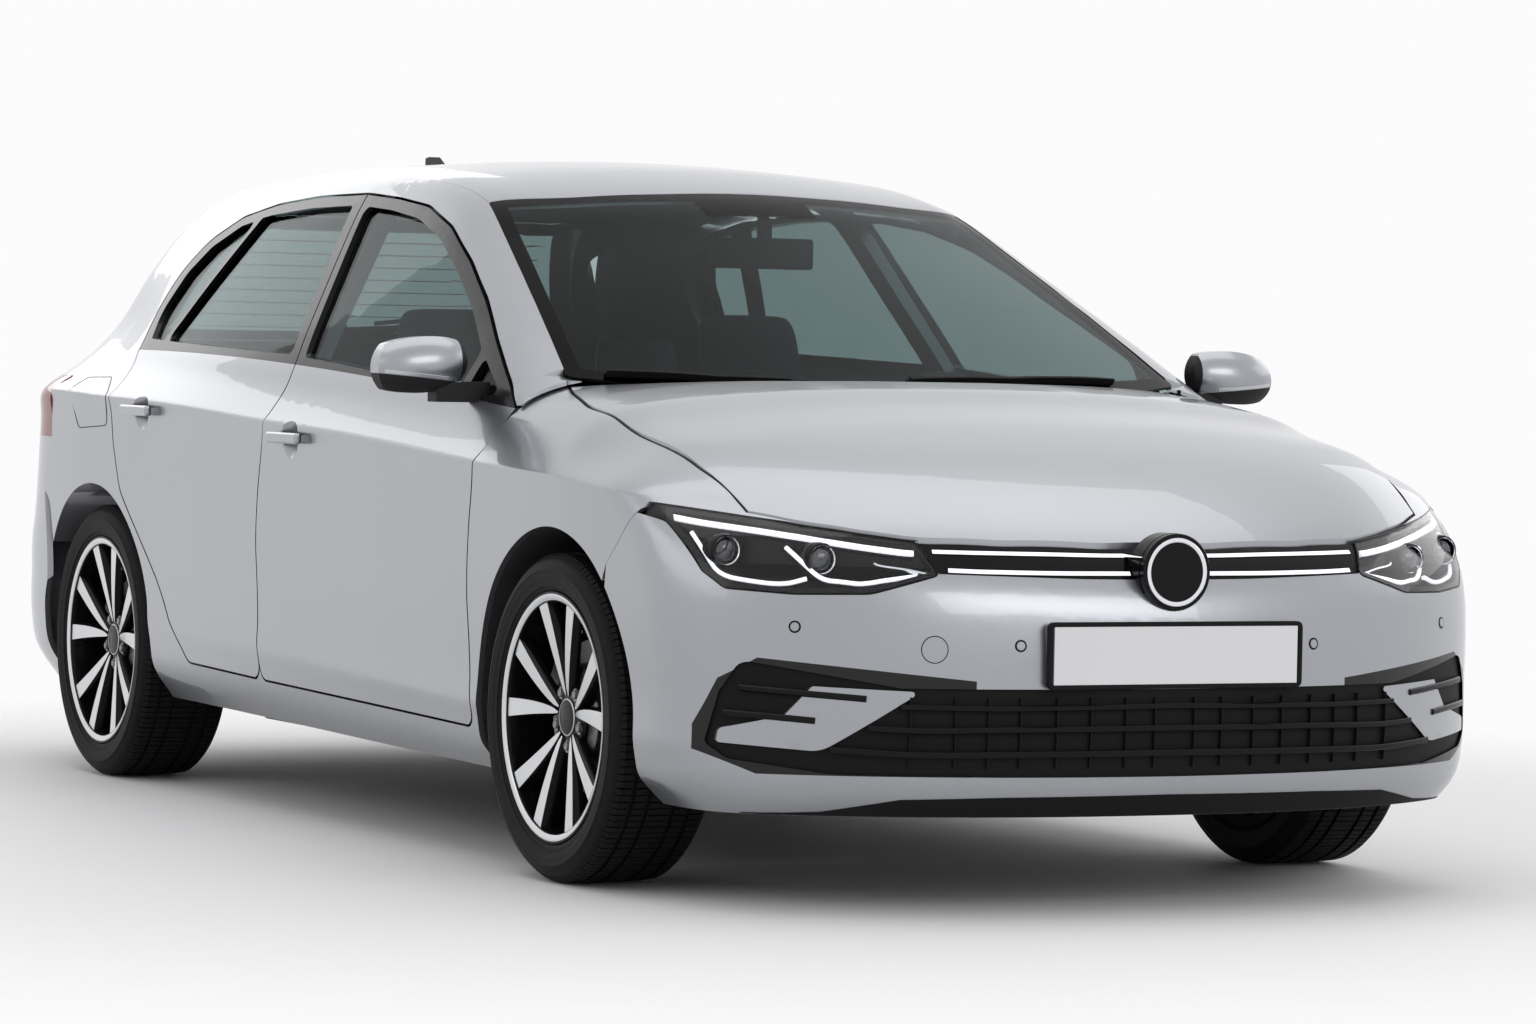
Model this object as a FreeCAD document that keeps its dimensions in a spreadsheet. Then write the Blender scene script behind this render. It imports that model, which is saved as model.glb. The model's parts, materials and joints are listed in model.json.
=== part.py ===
import FreeCAD, Part, Sketcher
import math
import os

# Hatchback car. X points forward, Y to the car's left, Z up.
# The origin is on the ground, in the middle of the length and the width.

sizes = {
    # overall
    "overallLength": 4284, "overallWidth": 1789, "roofHeight": 1456, "wheelbase": 2636,
    "frontOverhang": 868, "frontTrack": 1549, "rearTrack": 1520,
    # blends between the side, the top, the nose and the tail
    "railBlend": 105, "bonnetBlend": 100, "noseBlend": 120, "tailBlend": 170,
    # panel stock and gaps
    "shutGap": 5, "seamGap": 0.8, "fitGap": 0.4, "skin": 12, "doorDepth": 90, "frameDepth": 30,
    "roofDepth": 25, "bonnetDepth": 22, "bumperDepth": 14, "tailgateDepth": 45, "railDepth": 55,
    "glassPane": 5, "doorTaperShare": 0.2, "gateTaperShare": 0.12, "sillInner": 740, "overrun": 40,
    "trimWidth": 28,
    # wheels
    "tyreDiameter": 637, "tyreWidth": 225, "rimDiameter": 485, "rimSeat": 458, "rimWidth": 200,
    "wheelOffset": 51, "archRadius": 368, "archWall": 8, "hubBore": 57, "boltCircle": 112,
    "boltBore": 14, "discDiameter": 300, "discWall": 25, "kingpinInset": 45,
    "frontHouseInner": 452, "rearHouseInner": 604,
    # inside
    "floorHeight": 185, "floorWall": 18, "tunnelWidth": 220, "tunnelHeight": 130, "bootHeight": 430,
    "firewallPlace": 985, "firewallWall": 20, "seatWidth": 500, "seatPlace": 370,
    "steeringDiameter": 365, "steeringGrip": 30, "steeringTilt": 24,
    # plates and lamps
    "plateWidth": 520, "plateHeight": 113, "plateWall": 8, "lampDepth": 120,
}

doc = FreeCAD.newDocument("hatchback")
sheet = doc.addObject("Spreadsheet::Sheet", "sizes")
for row, (alias, value) in enumerate(sizes.items(), start=1):
    sheet.set("A%d" % row, alias)
    sheet.set("B%d" % row, str(value))
    sheet.setAlias("B%d" % row, alias)
doc.recompute()


class Dimensions:
    pass


d = Dimensions()
for alias in sizes:
    setattr(d, alias, float(sheet.get(alias)))

halfLength = d.overallLength / 2
halfWidth = d.overallWidth / 2
rearOverhang = d.overallLength - d.frontOverhang - d.wheelbase
frontAxle = halfLength - d.frontOverhang
rearAxle = frontAxle - d.wheelbase
wheelRadius = d.tyreDiameter / 2

# Lines along the car. The first value is the station: -1 at the nose, 0 at the front axle,
# 1 at the rear axle, 2 at the tail. The second is a share of the height or of half the width.
bonnetLineShares = [(-1.0, 0.430), (-0.915, 0.477), (-0.84, 0.508), (-0.67, 0.556), (-0.38, 0.610),
                    (-0.03, 0.652), (0.07, 0.673), (0.20, 0.690)]
roofLineShares = [(-0.06, 0.555), (0.068, 0.663), (0.145, 0.733), (0.22, 0.800), (0.295, 0.865),
                  (0.38, 0.935), (0.45, 0.968), (0.55, 0.987), (0.70, 0.994), (0.80, 0.991), (0.95, 0.978),
                  (1.15, 0.955), (1.40, 0.920), (2.0, 0.82)]
roofCrownShares = [(0.0, 0.0), (0.15, 0.01), (0.35, 0.03), (0.50, 0.05), (0.75, 0.06), (2.0, 0.055)]
sillShares = [(-1.0, 0.135), (0.165, 0.140), (0.87, 0.155), (2.0, 0.165)]
creaseShares = [(-1.0, 0.215), (0.168, 0.223), (0.59, 0.249), (0.82, 0.261), (2.0, 0.270)]
shoulderShares = [(-1.0, 0.492), (-0.60, 0.512), (0.14, 0.545), (0.487, 0.577), (0.58, 0.582),
                  (0.82, 0.602), (1.18, 0.614), (2.0, 0.610)]
beltShares = [(-1.0, 0.560), (-0.40, 0.600), (0.0, 0.622), (0.133, 0.628), (0.50, 0.657), (0.59, 0.664),
              (0.95, 0.687), (1.30, 0.700), (2.0, 0.715)]
sideWidthShares = [(-1.0, 0.965), (-0.43, 0.993), (0.0, 1.0), (0.16, 0.995), (0.48, 0.991),
                   (0.80, 0.994), (1.0, 1.0), (1.40, 0.998), (2.0, 0.975)]
beltWidthShares = [(-1.0, 0.790), (-0.3, 0.865), (0.0, 0.895), (0.134, 0.912), (0.37, 0.920), (0.60, 0.921),
                   (0.80, 0.908), (0.97, 0.884), (1.30, 0.830), (2.0, 0.720)]
railWidthShares = [(-1.0, 0.575), (0.20, 0.632), (0.41, 0.658), (0.52, 0.668), (0.635, 0.676),
                   (0.80, 0.670), (0.97, 0.645), (1.40, 0.590), (2.0, 0.520)]
railHeightShare = 0.934
# How far the side stands in from its widest line, from the sill to the rail.
sideInsetShares = [0.110, 0.070, 0.032, 0.020, 0.014, 0.016, 0.014, 0.005, 0.005, 0.003, 0.002]
# Profile on the centre line: height share, then share of the overhang beyond the axle.
noseProfileShares = [(0.10, 0.900), (0.118, 0.935), (0.140, 0.972), (0.165, 0.990), (0.205, 0.998),
                     (0.285, 1.0), (0.357, 0.997), (0.405, 0.985), (0.440, 0.960), (0.475, 0.915),
                     (0.52, 0.820), (0.58, 0.66), (0.68, 0.30)]
tailProfileShares = [(0.10, 0.86), (0.130, 0.925), (0.165, 0.970), (0.22, 0.995), (0.31, 1.0),
                     (0.37, 0.994), (0.41, 0.960), (0.47, 0.925), (0.54, 0.908), (0.62, 0.882),
                     (0.67, 0.845), (0.71, 0.800), (0.755, 0.735), (0.825, 0.625), (0.89, 0.52),
                     (0.94, 0.43), (1.0, 0.30)]
nosePlanShares = (0.230, 0.179)
tailPlanShares = (0.16, 0.15)
windscreenBowShare = 0.27
bonnetCrownShare = 0.028


def lineAt(table, place):
    # smooth line through the points of a table
    last = len(table) - 1
    if place <= table[0][0]:
        slope = (table[1][1] - table[0][1]) / (table[1][0] - table[0][0])
        return table[0][1] + slope * (place - table[0][0])
    if place >= table[last][0]:
        slope = (table[last][1] - table[last - 1][1]) / (table[last][0] - table[last - 1][0])
        return table[last][1] + slope * (place - table[last][0])
    i = 0
    while place > table[i + 1][0]:
        i += 1
    start, value = table[i]
    end, target = table[i + 1]
    span = end - start
    slope = (target - value) / span
    before = slope
    if i > 0:
        step = start - table[i - 1][0]
        before = ((value - table[i - 1][1]) / step * span + slope * step) / (span + step)
    after = slope
    if i + 1 < last:
        step = table[i + 2][0] - end
        after = ((table[i + 2][1] - target) / step * span + slope * step) / (span + step)
    s = (place - start) / span
    rise = 3 * s * s - 2 * s * s * s
    bend = span * s * (1 - s) * (before * (1 - s) - after * s)
    return value + (target - value) * rise + bend


def stationAt(x):
    ahead = halfLength - x
    if ahead < d.frontOverhang:
        return ahead / d.frontOverhang - 1
    if ahead < d.frontOverhang + d.wheelbase:
        return (ahead - d.frontOverhang) / d.wheelbase
    return 1 + (ahead - d.frontOverhang - d.wheelbase) / rearOverhang


def placeOf(station):
    if station < 0:
        return frontAxle - station * d.frontOverhang
    if station < 1:
        return frontAxle - station * d.wheelbase
    return rearAxle - (station - 1) * rearOverhang


def heightAt(shares, x):
    return lineAt(shares, stationAt(x)) * d.roofHeight


def smoothMax(a, b, blend):
    # the larger of two distances, with the corner between them rounded
    overlap = blend - abs(a - b)
    if overlap <= 0:
        return max(a, b)
    return max(a, b) + overlap ** 3 / (6 * blend * blend)


sectionsMade = {}


def sectionAt(x):
    # half width of the body against height, across the car at x
    key = round(x / d.fitGap)
    if key in sectionsMade:
        return sectionsMade[key]
    sill = heightAt(sillShares, x)
    crease = heightAt(creaseShares, x)
    shoulder = heightAt(shoulderShares, x)
    belt = heightAt(beltShares, x)
    rail = railHeightShare * d.roofHeight
    side = lineAt(sideWidthShares, stationAt(x)) * halfWidth
    beltWide = lineAt(beltWidthShares, stationAt(x)) * halfWidth
    railWide = lineAt(railWidthShares, stationAt(x)) * halfWidth
    tuck = crease - sill
    door = shoulder - crease
    rise = belt - shoulder
    glass = rail - belt
    heights = [sill - 0.3 * tuck, sill, sill + 0.32 * tuck, sill + 0.7 * tuck, crease,
               crease + 0.09 * door, crease + 0.24 * door, crease + 0.55 * door, crease + 0.85 * door,
               crease + 0.97 * door, shoulder + 0.04 * rise]
    section = [(z, side - share * halfWidth) for z, share in zip(heights, sideInsetShares)]
    section.append((shoulder + 0.25 * rise, side - 0.28 * (side - beltWide)))
    section.append((shoulder + 0.65 * rise, side - 0.74 * (side - beltWide)))
    section.append((belt, beltWide))
    section.append((belt + 0.5 * glass, beltWide - 0.47 * (beltWide - railWide)))
    section.append((rail, railWide))
    section.append((rail + 0.25 * glass, railWide - 0.30 * (beltWide - railWide)))
    sectionsMade[key] = section
    return section


def sideAt(x, z):
    return lineAt(sectionAt(x), z)


def bowAt(y):
    return (y / halfWidth) ** 2


def cabinTop(x, y):
    bow = bowAt(y)
    station = stationAt(x + windscreenBowShare * bow * halfWidth)
    drop = lineAt(roofCrownShares, station) * bow
    return (lineAt(roofLineShares, station) - drop) * d.roofHeight


def bonnetTop(x, y):
    bow = bowAt(y)
    return (lineAt(bonnetLineShares, stationAt(x)) - bonnetCrownShare * (1 + bow) * bow) * d.roofHeight


def noseFace(y, z):
    bow = bowAt(y)
    share = lineAt(noseProfileShares, z / d.roofHeight)
    share -= nosePlanShares[0] * bow + nosePlanShares[1] * bow ** 2
    return frontAxle + share * d.frontOverhang


def tailFace(y, z):
    bow = bowAt(y)
    share = lineAt(tailProfileShares, z / d.roofHeight)
    share -= tailPlanShares[0] * bow + tailPlanShares[1] * bow ** 3
    return rearAxle - share * rearOverhang


def cabinField(x, y, z):
    # below zero inside the cabin and the boot, above zero outside
    side = abs(y) - sideAt(x, z)
    body = smoothMax(side, z - cabinTop(x, y), d.railBlend)
    return smoothMax(body, tailFace(y, z) - x, d.tailBlend)


def noseField(x, y, z):
    # below zero inside the front end, above zero outside
    side = abs(y) - sideAt(x, z)
    body = smoothMax(side, z - bonnetTop(x, y), d.bonnetBlend)
    return smoothMax(body, x - noseFace(y, z), d.noseBlend)


def reachAt(field, origin, direction):
    # distance from a point inside the body to its surface
    if field(origin.x, origin.y, origin.z) > 0:
        return 0
    low = 0
    high = halfWidth / 8
    while True:
        point = origin + direction * high
        value = field(point.x, point.y, point.z)
        if value > 0:
            break
        low = high
        high += halfWidth / 4
    point = origin + direction * low
    lowValue = field(point.x, point.y, point.z)
    highValue = value
    for turn in range(40):
        if turn % 3 == 2:
            middle = (low + high) / 2
        else:
            middle = (low * highValue - high * lowValue) / (highValue - lowValue)
        point = origin + direction * middle
        value = field(point.x, point.y, point.z)
        if abs(value) < d.fitGap / 400:
            return middle
        if value > 0:
            high = middle
            highValue = value
        else:
            low = middle
            lowValue = value
    return (low + high) / 2


def sideRays(field, spineY, columns, rows):
    # Rays that leave a spine inside the car. A column is the spine's x and the ray's turn in plan;
    # a row is a function that gives the ray's height and its rise for the x where it lands.
    grid = []
    for height in rows:
        line = []
        for spineX, turn in columns:
            x = spineX + math.cos(turn) * halfWidth / 2
            for attempt in range(3):
                z, rise = height(x)
                flat = math.cos(rise)
                direction = FreeCAD.Vector(flat * math.cos(turn), flat * math.sin(turn), math.sin(rise))
                origin = FreeCAD.Vector(spineX, spineY, z)
                reach = reachAt(field, origin, direction)
                x = spineX + direction.x * reach
                if turn == math.pi / 2:
                    break
            line.append((origin + direction * reach, direction))
        grid.append(line)
    return grid


def upRays(field, xs, ys, startHeight, bowed):
    # rays straight up, in rows that bowed bends back towards the sides
    up = FreeCAD.Vector(0, 0, 1)
    grid = []
    for x in xs:
        line = []
        for y in ys:
            origin = FreeCAD.Vector(x - bowed(x, y), y, startHeight)
            line.append((origin + up * reachAt(field, origin, up), up))
        grid.append(line)
    return grid


def spread(start, end, count):
    return [start + (end - start) * i / (count - 1) for i in range(count)]


def surfaceThrough(points):
    # smooth surface whose control net is pushed out so that it passes the points
    def sharpened(line):
        result = list(line)
        for i in range(1, len(line) - 1):
            result[i] = line[i] - (line[i - 1] - line[i] * 2 + line[i + 1]) / 6
        return result
    net = [sharpened(line) for line in points]
    net = [list(line) for line in zip(*net)]
    net = [sharpened(line) for line in net]
    net = [list(line) for line in zip(*net)]
    rowCount = len(net)
    columnCount = len(net[0])
    surface = Part.BSplineSurface()
    rowKnots = [4] + [1] * (rowCount - 4) + [4]
    columnKnots = [4] + [1] * (columnCount - 4) + [4]
    surface.buildFromPolesMultsKnots(net, rowKnots, columnKnots, list(range(rowCount - 2)),
                                     list(range(columnCount - 2)), False, False, 3, 3)
    return surface


def solidFromFaces(faces):
    for sewn in (faces, [faces[0].reversed()] + faces[1:]):
        shell = Part.makeShell(sewn)
        shell.sewShape()
        solid = Part.makeSolid(shell)
        if solid.Orientation == "Forward":
            return solid
    raise ValueError("the wall is inside out")


def sheetFrom(grid, outset, depth):
    # Wall that follows the body: its outer face stands outset beyond the skin, and
    # depth, a length or a function of the point and the ray, is its thickness.
    outer = []
    inner = []
    for line in grid:
        outer.append([point + ray * outset for point, ray in line])
        inner.append([point - ray * (depth(point, ray) if callable(depth) else depth) for point, ray in line])
    front = surfaceThrough(outer).toShape()
    back = surfaceThrough(inner).toShape()
    faces = [front, back]
    for edge in front.Edges:
        mate = min(back.Edges, key=lambda other: (other.CenterOfMass - edge.CenterOfMass).Length)
        faces.append(Part.makeRuledSurface(edge, mate))
    return solidFromFaces(faces)


def turnOf(a, b, c):
    first = (b[0] - a[0], b[1] - a[1])
    second = (c[0] - b[0], c[1] - b[1])
    cross = first[0] * second[1] - first[1] * second[0]
    dot = first[0] * second[0] + first[1] * second[1]
    return math.atan2(cross, dot)


def offsetCorners(corners, distance):
    # corners of an outline that runs anticlockwise, moved out by a distance
    result = []
    count = len(corners)
    for i in range(count):
        before = corners[i - 1]
        here = corners[i]
        after = corners[(i + 1) % count]
        first = math.atan2(here[1] - before[1], here[0] - before[0])
        turn = turnOf(before, here, after)
        heading = first + turn / 2 - math.pi / 2
        step = distance / math.cos(turn / 2)
        radius = max(here[2] + (distance if turn > 0 else -distance), d.fitGap) if here[2] > 0 else 0
        result.append((here[0] + step * math.cos(heading), here[1] + step * math.sin(heading), radius))
    return result


def roundedPath(corners):
    # lines and arcs, as lists of two or five points, along an outline with rounded corners
    count = len(corners)
    cuts = []
    for i in range(count):
        before = corners[i - 1]
        here = corners[i]
        after = corners[(i + 1) % count]
        turn = abs(turnOf(before, here, after))
        backLength = math.hypot(here[0] - before[0], here[1] - before[1])
        nextLength = math.hypot(after[0] - here[0], after[1] - here[1])
        room = 0.45 * min(backLength, nextLength)
        if here[2] <= 0 or turn < math.radians(1):
            cuts.append([(here[0], here[1])])
            continue
        cut = min(here[2] * math.tan(turn / 2), room)
        start = (here[0] + (before[0] - here[0]) * cut / backLength,
                 here[1] + (before[1] - here[1]) * cut / backLength)
        end = (here[0] + (after[0] - here[0]) * cut / nextLength,
               here[1] + (after[1] - here[1]) * cut / nextLength)
        radius = cut / math.tan(turn / 2)
        toCentre = math.hypot(cut, radius)
        middle = ((start[0] + end[0]) / 2, (start[1] + end[1]) / 2)
        inward = (middle[0] - here[0], middle[1] - here[1])
        size = math.hypot(inward[0], inward[1])
        centre = (here[0] + inward[0] * toCentre / size, here[1] + inward[1] * toCentre / size)
        arc = []
        startAngle = math.atan2(start[1] - centre[1], start[0] - centre[0])
        endAngle = math.atan2(end[1] - centre[1], end[0] - centre[0])
        sweep = math.remainder(endAngle - startAngle, 2 * math.pi)
        for k in range(5):
            angle = startAngle + sweep * k / 4
            arc.append((centre[0] + radius * math.cos(angle), centre[1] + radius * math.sin(angle)))
        cuts.append(arc)
    path = []
    for i in range(count):
        if len(cuts[i]) > 1:
            path.append(cuts[i])
        path.append([cuts[i][-1], cuts[(i + 1) % count][0]])
    return path


def anticlockwise(corners):
    area = 0
    for i in range(len(corners)):
        a = corners[i - 1]
        b = corners[i]
        area += a[0] * b[1] - b[0] * a[1]
    return corners if area > 0 else list(reversed(corners))


def wireOf(corners, place):
    # closed wire of lines and true arcs; place turns a flat point into one in space
    edges = []
    for piece in roundedPath(anticlockwise(corners)):
        if len(piece) == 2:
            edges.append(Part.LineSegment(place(piece[0]), place(piece[1])).toShape())
        else:
            edges.append(Part.Arc(place(piece[0]), place(piece[2]), place(piece[4])).toShape())
    return Part.Wire(edges)


def sidePrism(corners, low, high):
    # outline in x and z, run through from y = low to y = high
    wire = wireOf(corners, lambda p: FreeCAD.Vector(p[0], low, p[1]))
    return Part.Face(wire).extrude(FreeCAD.Vector(0, high - low, 0))


def topPrism(corners, low, high):
    wire = wireOf(corners, lambda p: FreeCAD.Vector(p[0], p[1], low))
    return Part.Face(wire).extrude(FreeCAD.Vector(0, 0, high - low))


def facePrism(corners, low, high):
    # outline in y and z, run through from x = low to x = high
    wire = wireOf(corners, lambda p: FreeCAD.Vector(low, p[0], p[1]))
    return Part.Face(wire).extrude(FreeCAD.Vector(high - low, 0, 0))


def ringAround(corners, taper, margin, skinAt, depthAt, place):
    # Open band that cuts a wall along an outline. It stands out past the skin by margin, reaches
    # in by depthAt, and closes in by taper for each length inward.
    path = roundedPath(anticlockwise(corners))
    longest = halfWidth / 8
    lines = []
    for piece in path:
        points = piece
        if len(piece) == 2:
            reach = math.hypot(piece[1][0] - piece[0][0], piece[1][1] - piece[0][1])
            steps = max(1, round(reach / longest))
            points = [(between(piece[0][0], piece[1][0], k / steps),
                       between(piece[0][1], piece[1][1], k / steps))
                      for k in range(steps + 1)]
        lines.append(points)
    faces = []
    count = len(lines)
    for index, points in enumerate(lines):
        nearPoints = []
        farPoints = []
        for k, point in enumerate(points):
            before = points[k - 1] if k > 0 else lines[index - 1][-2]
            after = points[k + 1] if k + 1 < len(points) else lines[(index + 1) % count][1]
            turn = turnOf(before, point, after)
            heading = math.atan2(point[1] - before[1], point[0] - before[0]) + turn / 2 - math.pi / 2
            step = taper / math.cos(turn / 2)
            across = (math.cos(heading) * step, math.sin(heading) * step)
            skin = skinAt(point)
            depth = depthAt(point)
            nearPoints.append(place((point[0] + across[0] * margin, point[1] + across[1] * margin), skin,
                                    -margin))
            farPoints.append(place((point[0] - across[0] * depth, point[1] - across[1] * depth), skin, depth))
        faces.append(Part.makeRuledSurface(curveThrough(nearPoints), curveThrough(farPoints)))
    shell = Part.makeShell(faces)
    shell.sewShape()
    return shell


def pieceWith(wall, ring, point):
    # the piece of a wall, cut along a band, that holds a point
    pieces = biggestSolid(wall).generalFuse([ring])[1][0]
    solids = [solid for piece in pieces for solid in piece.Solids]
    for solid in solids:
        if solid.isInside(point, d.fitGap / 4, True):
            return solid if solid.Volume > 0 else solid.reversed()
    raise ValueError("no piece holds the point")


def curveThrough(points):
    if len(points) == 2:
        return Part.LineSegment(points[0], points[1]).toShape()
    curve = Part.BSplineCurve()
    curve.interpolate(points)
    return curve.toShape()


def block(low, high):
    size = high - low
    return Part.makeBox(size.x, size.y, size.z, low)


def mirrored(shape):
    return shape.mirror(FreeCAD.Vector(0, 0, 0), FreeCAD.Vector(0, 1, 0))


def biggestSolid(shape):
    return max(shape.Solids, key=lambda solid: solid.Volume)


nodes = []


def addNode(name, shape):
    feature = doc.addObject("Part::Feature", name)
    feature.Label = name
    feature.Shape = shape
    nodes.append(feature)
    return feature


def cornersFrom(shares):
    # station, height share and corner radius as a share of the wheelbase
    return [(placeOf(station), height * d.roofHeight, radius * d.wheelbase) for station, height,
            radius in shares]


def between(low, high, share):
    return low + (high - low) * share


# Rows of rays on the side: heights that follow the crease lines, then rays that rise.
def sideRowHeights():
    def lineBetween(lowShares, highShares, share):
        def at(x):
            return between(heightAt(lowShares, x), heightAt(highShares, x), share), 0
        return at

    def underSill(share):
        def at(x):
            return heightAt(sillShares, x) * share, 0
        return at

    def onGlass(share):
        def at(x):
            belt = heightAt(beltShares, x)
            top = min(railHeightShare * 0.80, lineAt(roofLineShares, stationAt(x)) - 0.075) * d.roofHeight
            return between(belt, max(top, belt), share), math.radians(62) * share ** 1.5
        return at

    rows = [underSill(share) for share in (0.92, 0.97)]
    rows += [lineBetween(sillShares, creaseShares, share) for share in (0.05, 0.25, 0.45, 0.65, 0.82, 0.95)]
    rows += [lineBetween(creaseShares, shoulderShares, share)
             for share in (0.01, 0.05, 0.10, 0.17, 0.26, 0.38, 0.50, 0.62, 0.74, 0.85, 0.93, 0.98)]
    rows += [lineBetween(shoulderShares, beltShares, share)
             for share in (0.03, 0.10, 0.20, 0.35, 0.52, 0.70, 0.88)]
    rows += [onGlass(share)
             for share in (0.0, 0.06, 0.14, 0.24, 0.34, 0.44, 0.54, 0.64, 0.73, 0.81, 0.88, 0.94, 1.0)]
    return rows


squareTurn = math.pi / 2
sideSpine = 0.33 * halfWidth


# Outlines on the side: station, height share, corner radius as a share of the wheelbase.
middleShutShares = [(0.5990, 0.200, 0.014), (0.6030, 0.262, 0.03), (0.6030, 0.40, 0.10), (0.5970, 0.50, 0.10),
                    (0.5840, 0.60, 0.08), (0.5780, 0.668, 0.06), (0.6280, 0.9330, 0)]
frontDoorTopShares = [(0.555, 0.9240, 0.12), (0.486, 0.9110, 0.12), (0.417, 0.8790, 0.12),
                      (0.346, 0.8270, 0.16), (0.2805, 0.7720, 0.2), (0.222, 0.716, 0.2),
                      (0.158, 0.655, 0.2), (0.1310, 0.6240, 0)]
frontDoorFrontShares = [(0.1440, 0.55, 0.10), (0.1520, 0.47, 0.08), (0.1560, 0.36, 0.08),
                        (0.1530, 0.24, 0.05), (0.1480, 0.1870, 0.014)]
rearDoorTopShares = [(0.736, 0.9310, 0.12), (0.828, 0.9215, 0.12), (0.905, 0.9030, 0.08),
                     (0.962, 0.8660, 0.06), (0.990, 0.8180, 0.06), (1.006, 0.7460, 0.06),
                     (0.988, 0.6850, 0)]
rearDoorRearShares = [(0.962, 0.6320, 0.04), (0.952, 0.59, 0.05), (0.948, 0.54, 0.05), (0.929, 0.4645, 0.04),
                      (0.890, 0.4030, 0.05), (0.843, 0.3290, 0.05), (0.812, 0.270, 0.04), 
                      (0.770, 0.2070, 0.02)]
frontWindowShares = [(0.5660, 0.684, 0.006), (0.6130, 0.9130, 0.006), (0.555, 0.9060, 0.12),
                     (0.490, 0.8920, 0.12), (0.425, 0.8620, 0.12), (0.356, 0.8120, 0.16),
                     (0.292, 0.7590, 0.2), (0.232, 0.700, 0.01), (0.240, 0.6450, 0.006)]
quarterFrontShares = [(0.226, 0.643, 0.004), (0.2200, 0.6900, 0.004), (0.158, 0.6370, 0.004)]
rearWindowShares = [(0.5970, 0.687, 0.006), (0.6430, 0.9150, 0.006), (0.736, 0.9130, 0.12),
                    (0.828, 0.9040, 0.05),
                    (0.850, 0.9000, 0.006), (0.925, 0.7030, 0.006)]
quarterRearShares = [(0.935, 0.704, 0.004), (0.862, 0.8960, 0.004), (0.895, 0.8880, 0.02),
                     (0.945, 0.8550, 0.02),
                     (0.970, 0.8150, 0.02), (0.985, 0.7460, 0.03), (0.972, 0.7060, 0.004)]


def innerSillDepth(point, ray):
    # below the belt the wall reaches in to one flat plane; the rail above is a plain wall
    belt = heightAt(beltShares, point.x)
    level = ray.y / math.hypot(ray.x, ray.y)
    flat = max((point.y - d.sillInner) / max(level, 0.8), d.skin)
    upper = min(max((point.z - belt) / d.railDepth, 0), 1)
    turned = min(max((0.97 - level) / 0.10, 0), 1)
    return between(flat, d.railDepth, max(upper, turned))


def doorDepthAt(point, ray):
    belt = heightAt(beltShares, point.x) - d.trimWidth
    share = min(max((point.z - belt) / d.frameDepth, 0), 1)
    return between(d.doorDepth, d.frameDepth, share)


def skinAtSide(point):
    return sideAt(point[0], point[1])


def sidePlace(point, skin, depth):
    return FreeCAD.Vector(point[0], skin - depth, point[1])


def doorRingDepth(point):
    belt = heightAt(beltShares, point[0])
    share = min(max((point[1] - belt) / d.doorDepth, 0), 1)
    return between(d.doorDepth + d.trimWidth, d.frameDepth + d.railDepth, share)


frontDoorCorners = cornersFrom(middleShutShares + frontDoorTopShares + frontDoorFrontShares)
rearDoorShares = middleShutShares[::-1] + rearDoorRearShares[::-1] + rearDoorTopShares[::-1]
rearDoorCorners = cornersFrom(rearDoorShares)


def doorRing(corners, growth, extra):
    grown = offsetCorners(anticlockwise(corners), growth)
    return ringAround(grown, d.doorTaperShare, d.skin, skinAtSide,
                      lambda point: doorRingDepth(point) + extra, sidePlace)


def doorHeart(corners):
    # a point inside the door's wall, below its window
    x = sum(corner[0] for corner in corners) / len(corners)
    z = heightAt(creaseShares, x) * 1.3
    return FreeCAD.Vector(x, sideAt(x, z) - d.doorDepth / 2, z)


def makeDoor(corners, panes, startX, endX):
    columns = [(x, squareTurn) for x in spread(startX, endX, 22)]
    grid = sideRays(cabinField, sideSpine, columns, sideRowHeights())
    wall = sheetFrom(grid, 0, doorDepthAt)
    door = pieceWith(wall, doorRing(corners, -d.shutGap / 2, 0), doorHeart(corners))
    glassWall = sheetFrom(grid, -d.skin, d.skin + d.glassPane)
    glass = []
    for pane in panes:
        opening = anticlockwise(cornersFrom(pane))
        door = door.cut(sidePrism(opening, d.seatPlace, halfWidth + d.overrun))
        inset = offsetCorners(opening, -d.fitGap)
        glass.append(glassWall.common(sidePrism(inset, d.seatPlace, halfWidth + d.overrun)))
    return biggestSolid(door), Part.makeCompound([biggestSolid(pane) for pane in glass])


def roundedBlock(low, high, radius):
    solid = block(low, high)
    return solid.makeFillet(radius, solid.Edges)


def withHandle(door, x, z):
    # pull handle: a bar on two feet over a shallow cup
    skin = sideAt(x, z)
    low = FreeCAD.Vector(x - d.doorDepth, skin + d.skin * 0.7, z - d.skin)
    high = FreeCAD.Vector(x + d.doorDepth, skin + d.skin * 2.1, z + d.skin)
    pieces = [roundedBlock(low, high, d.skin * 0.6)]
    for place in (x - d.doorDepth * 0.83, x + d.doorDepth * 0.83):
        foot = block(FreeCAD.Vector(place - d.skin, skin - d.skin, z - d.skin * 0.6),
                     FreeCAD.Vector(place + d.skin, skin + d.skin * 1.4, z + d.skin * 0.6))
        pieces.append(foot)
    radius = d.doorDepth
    cup = Part.makeSphere(radius, FreeCAD.Vector(x, skin + radius * 0.86, z))
    return biggestSolid(door.cut(cup).multiFuse(pieces))


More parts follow.
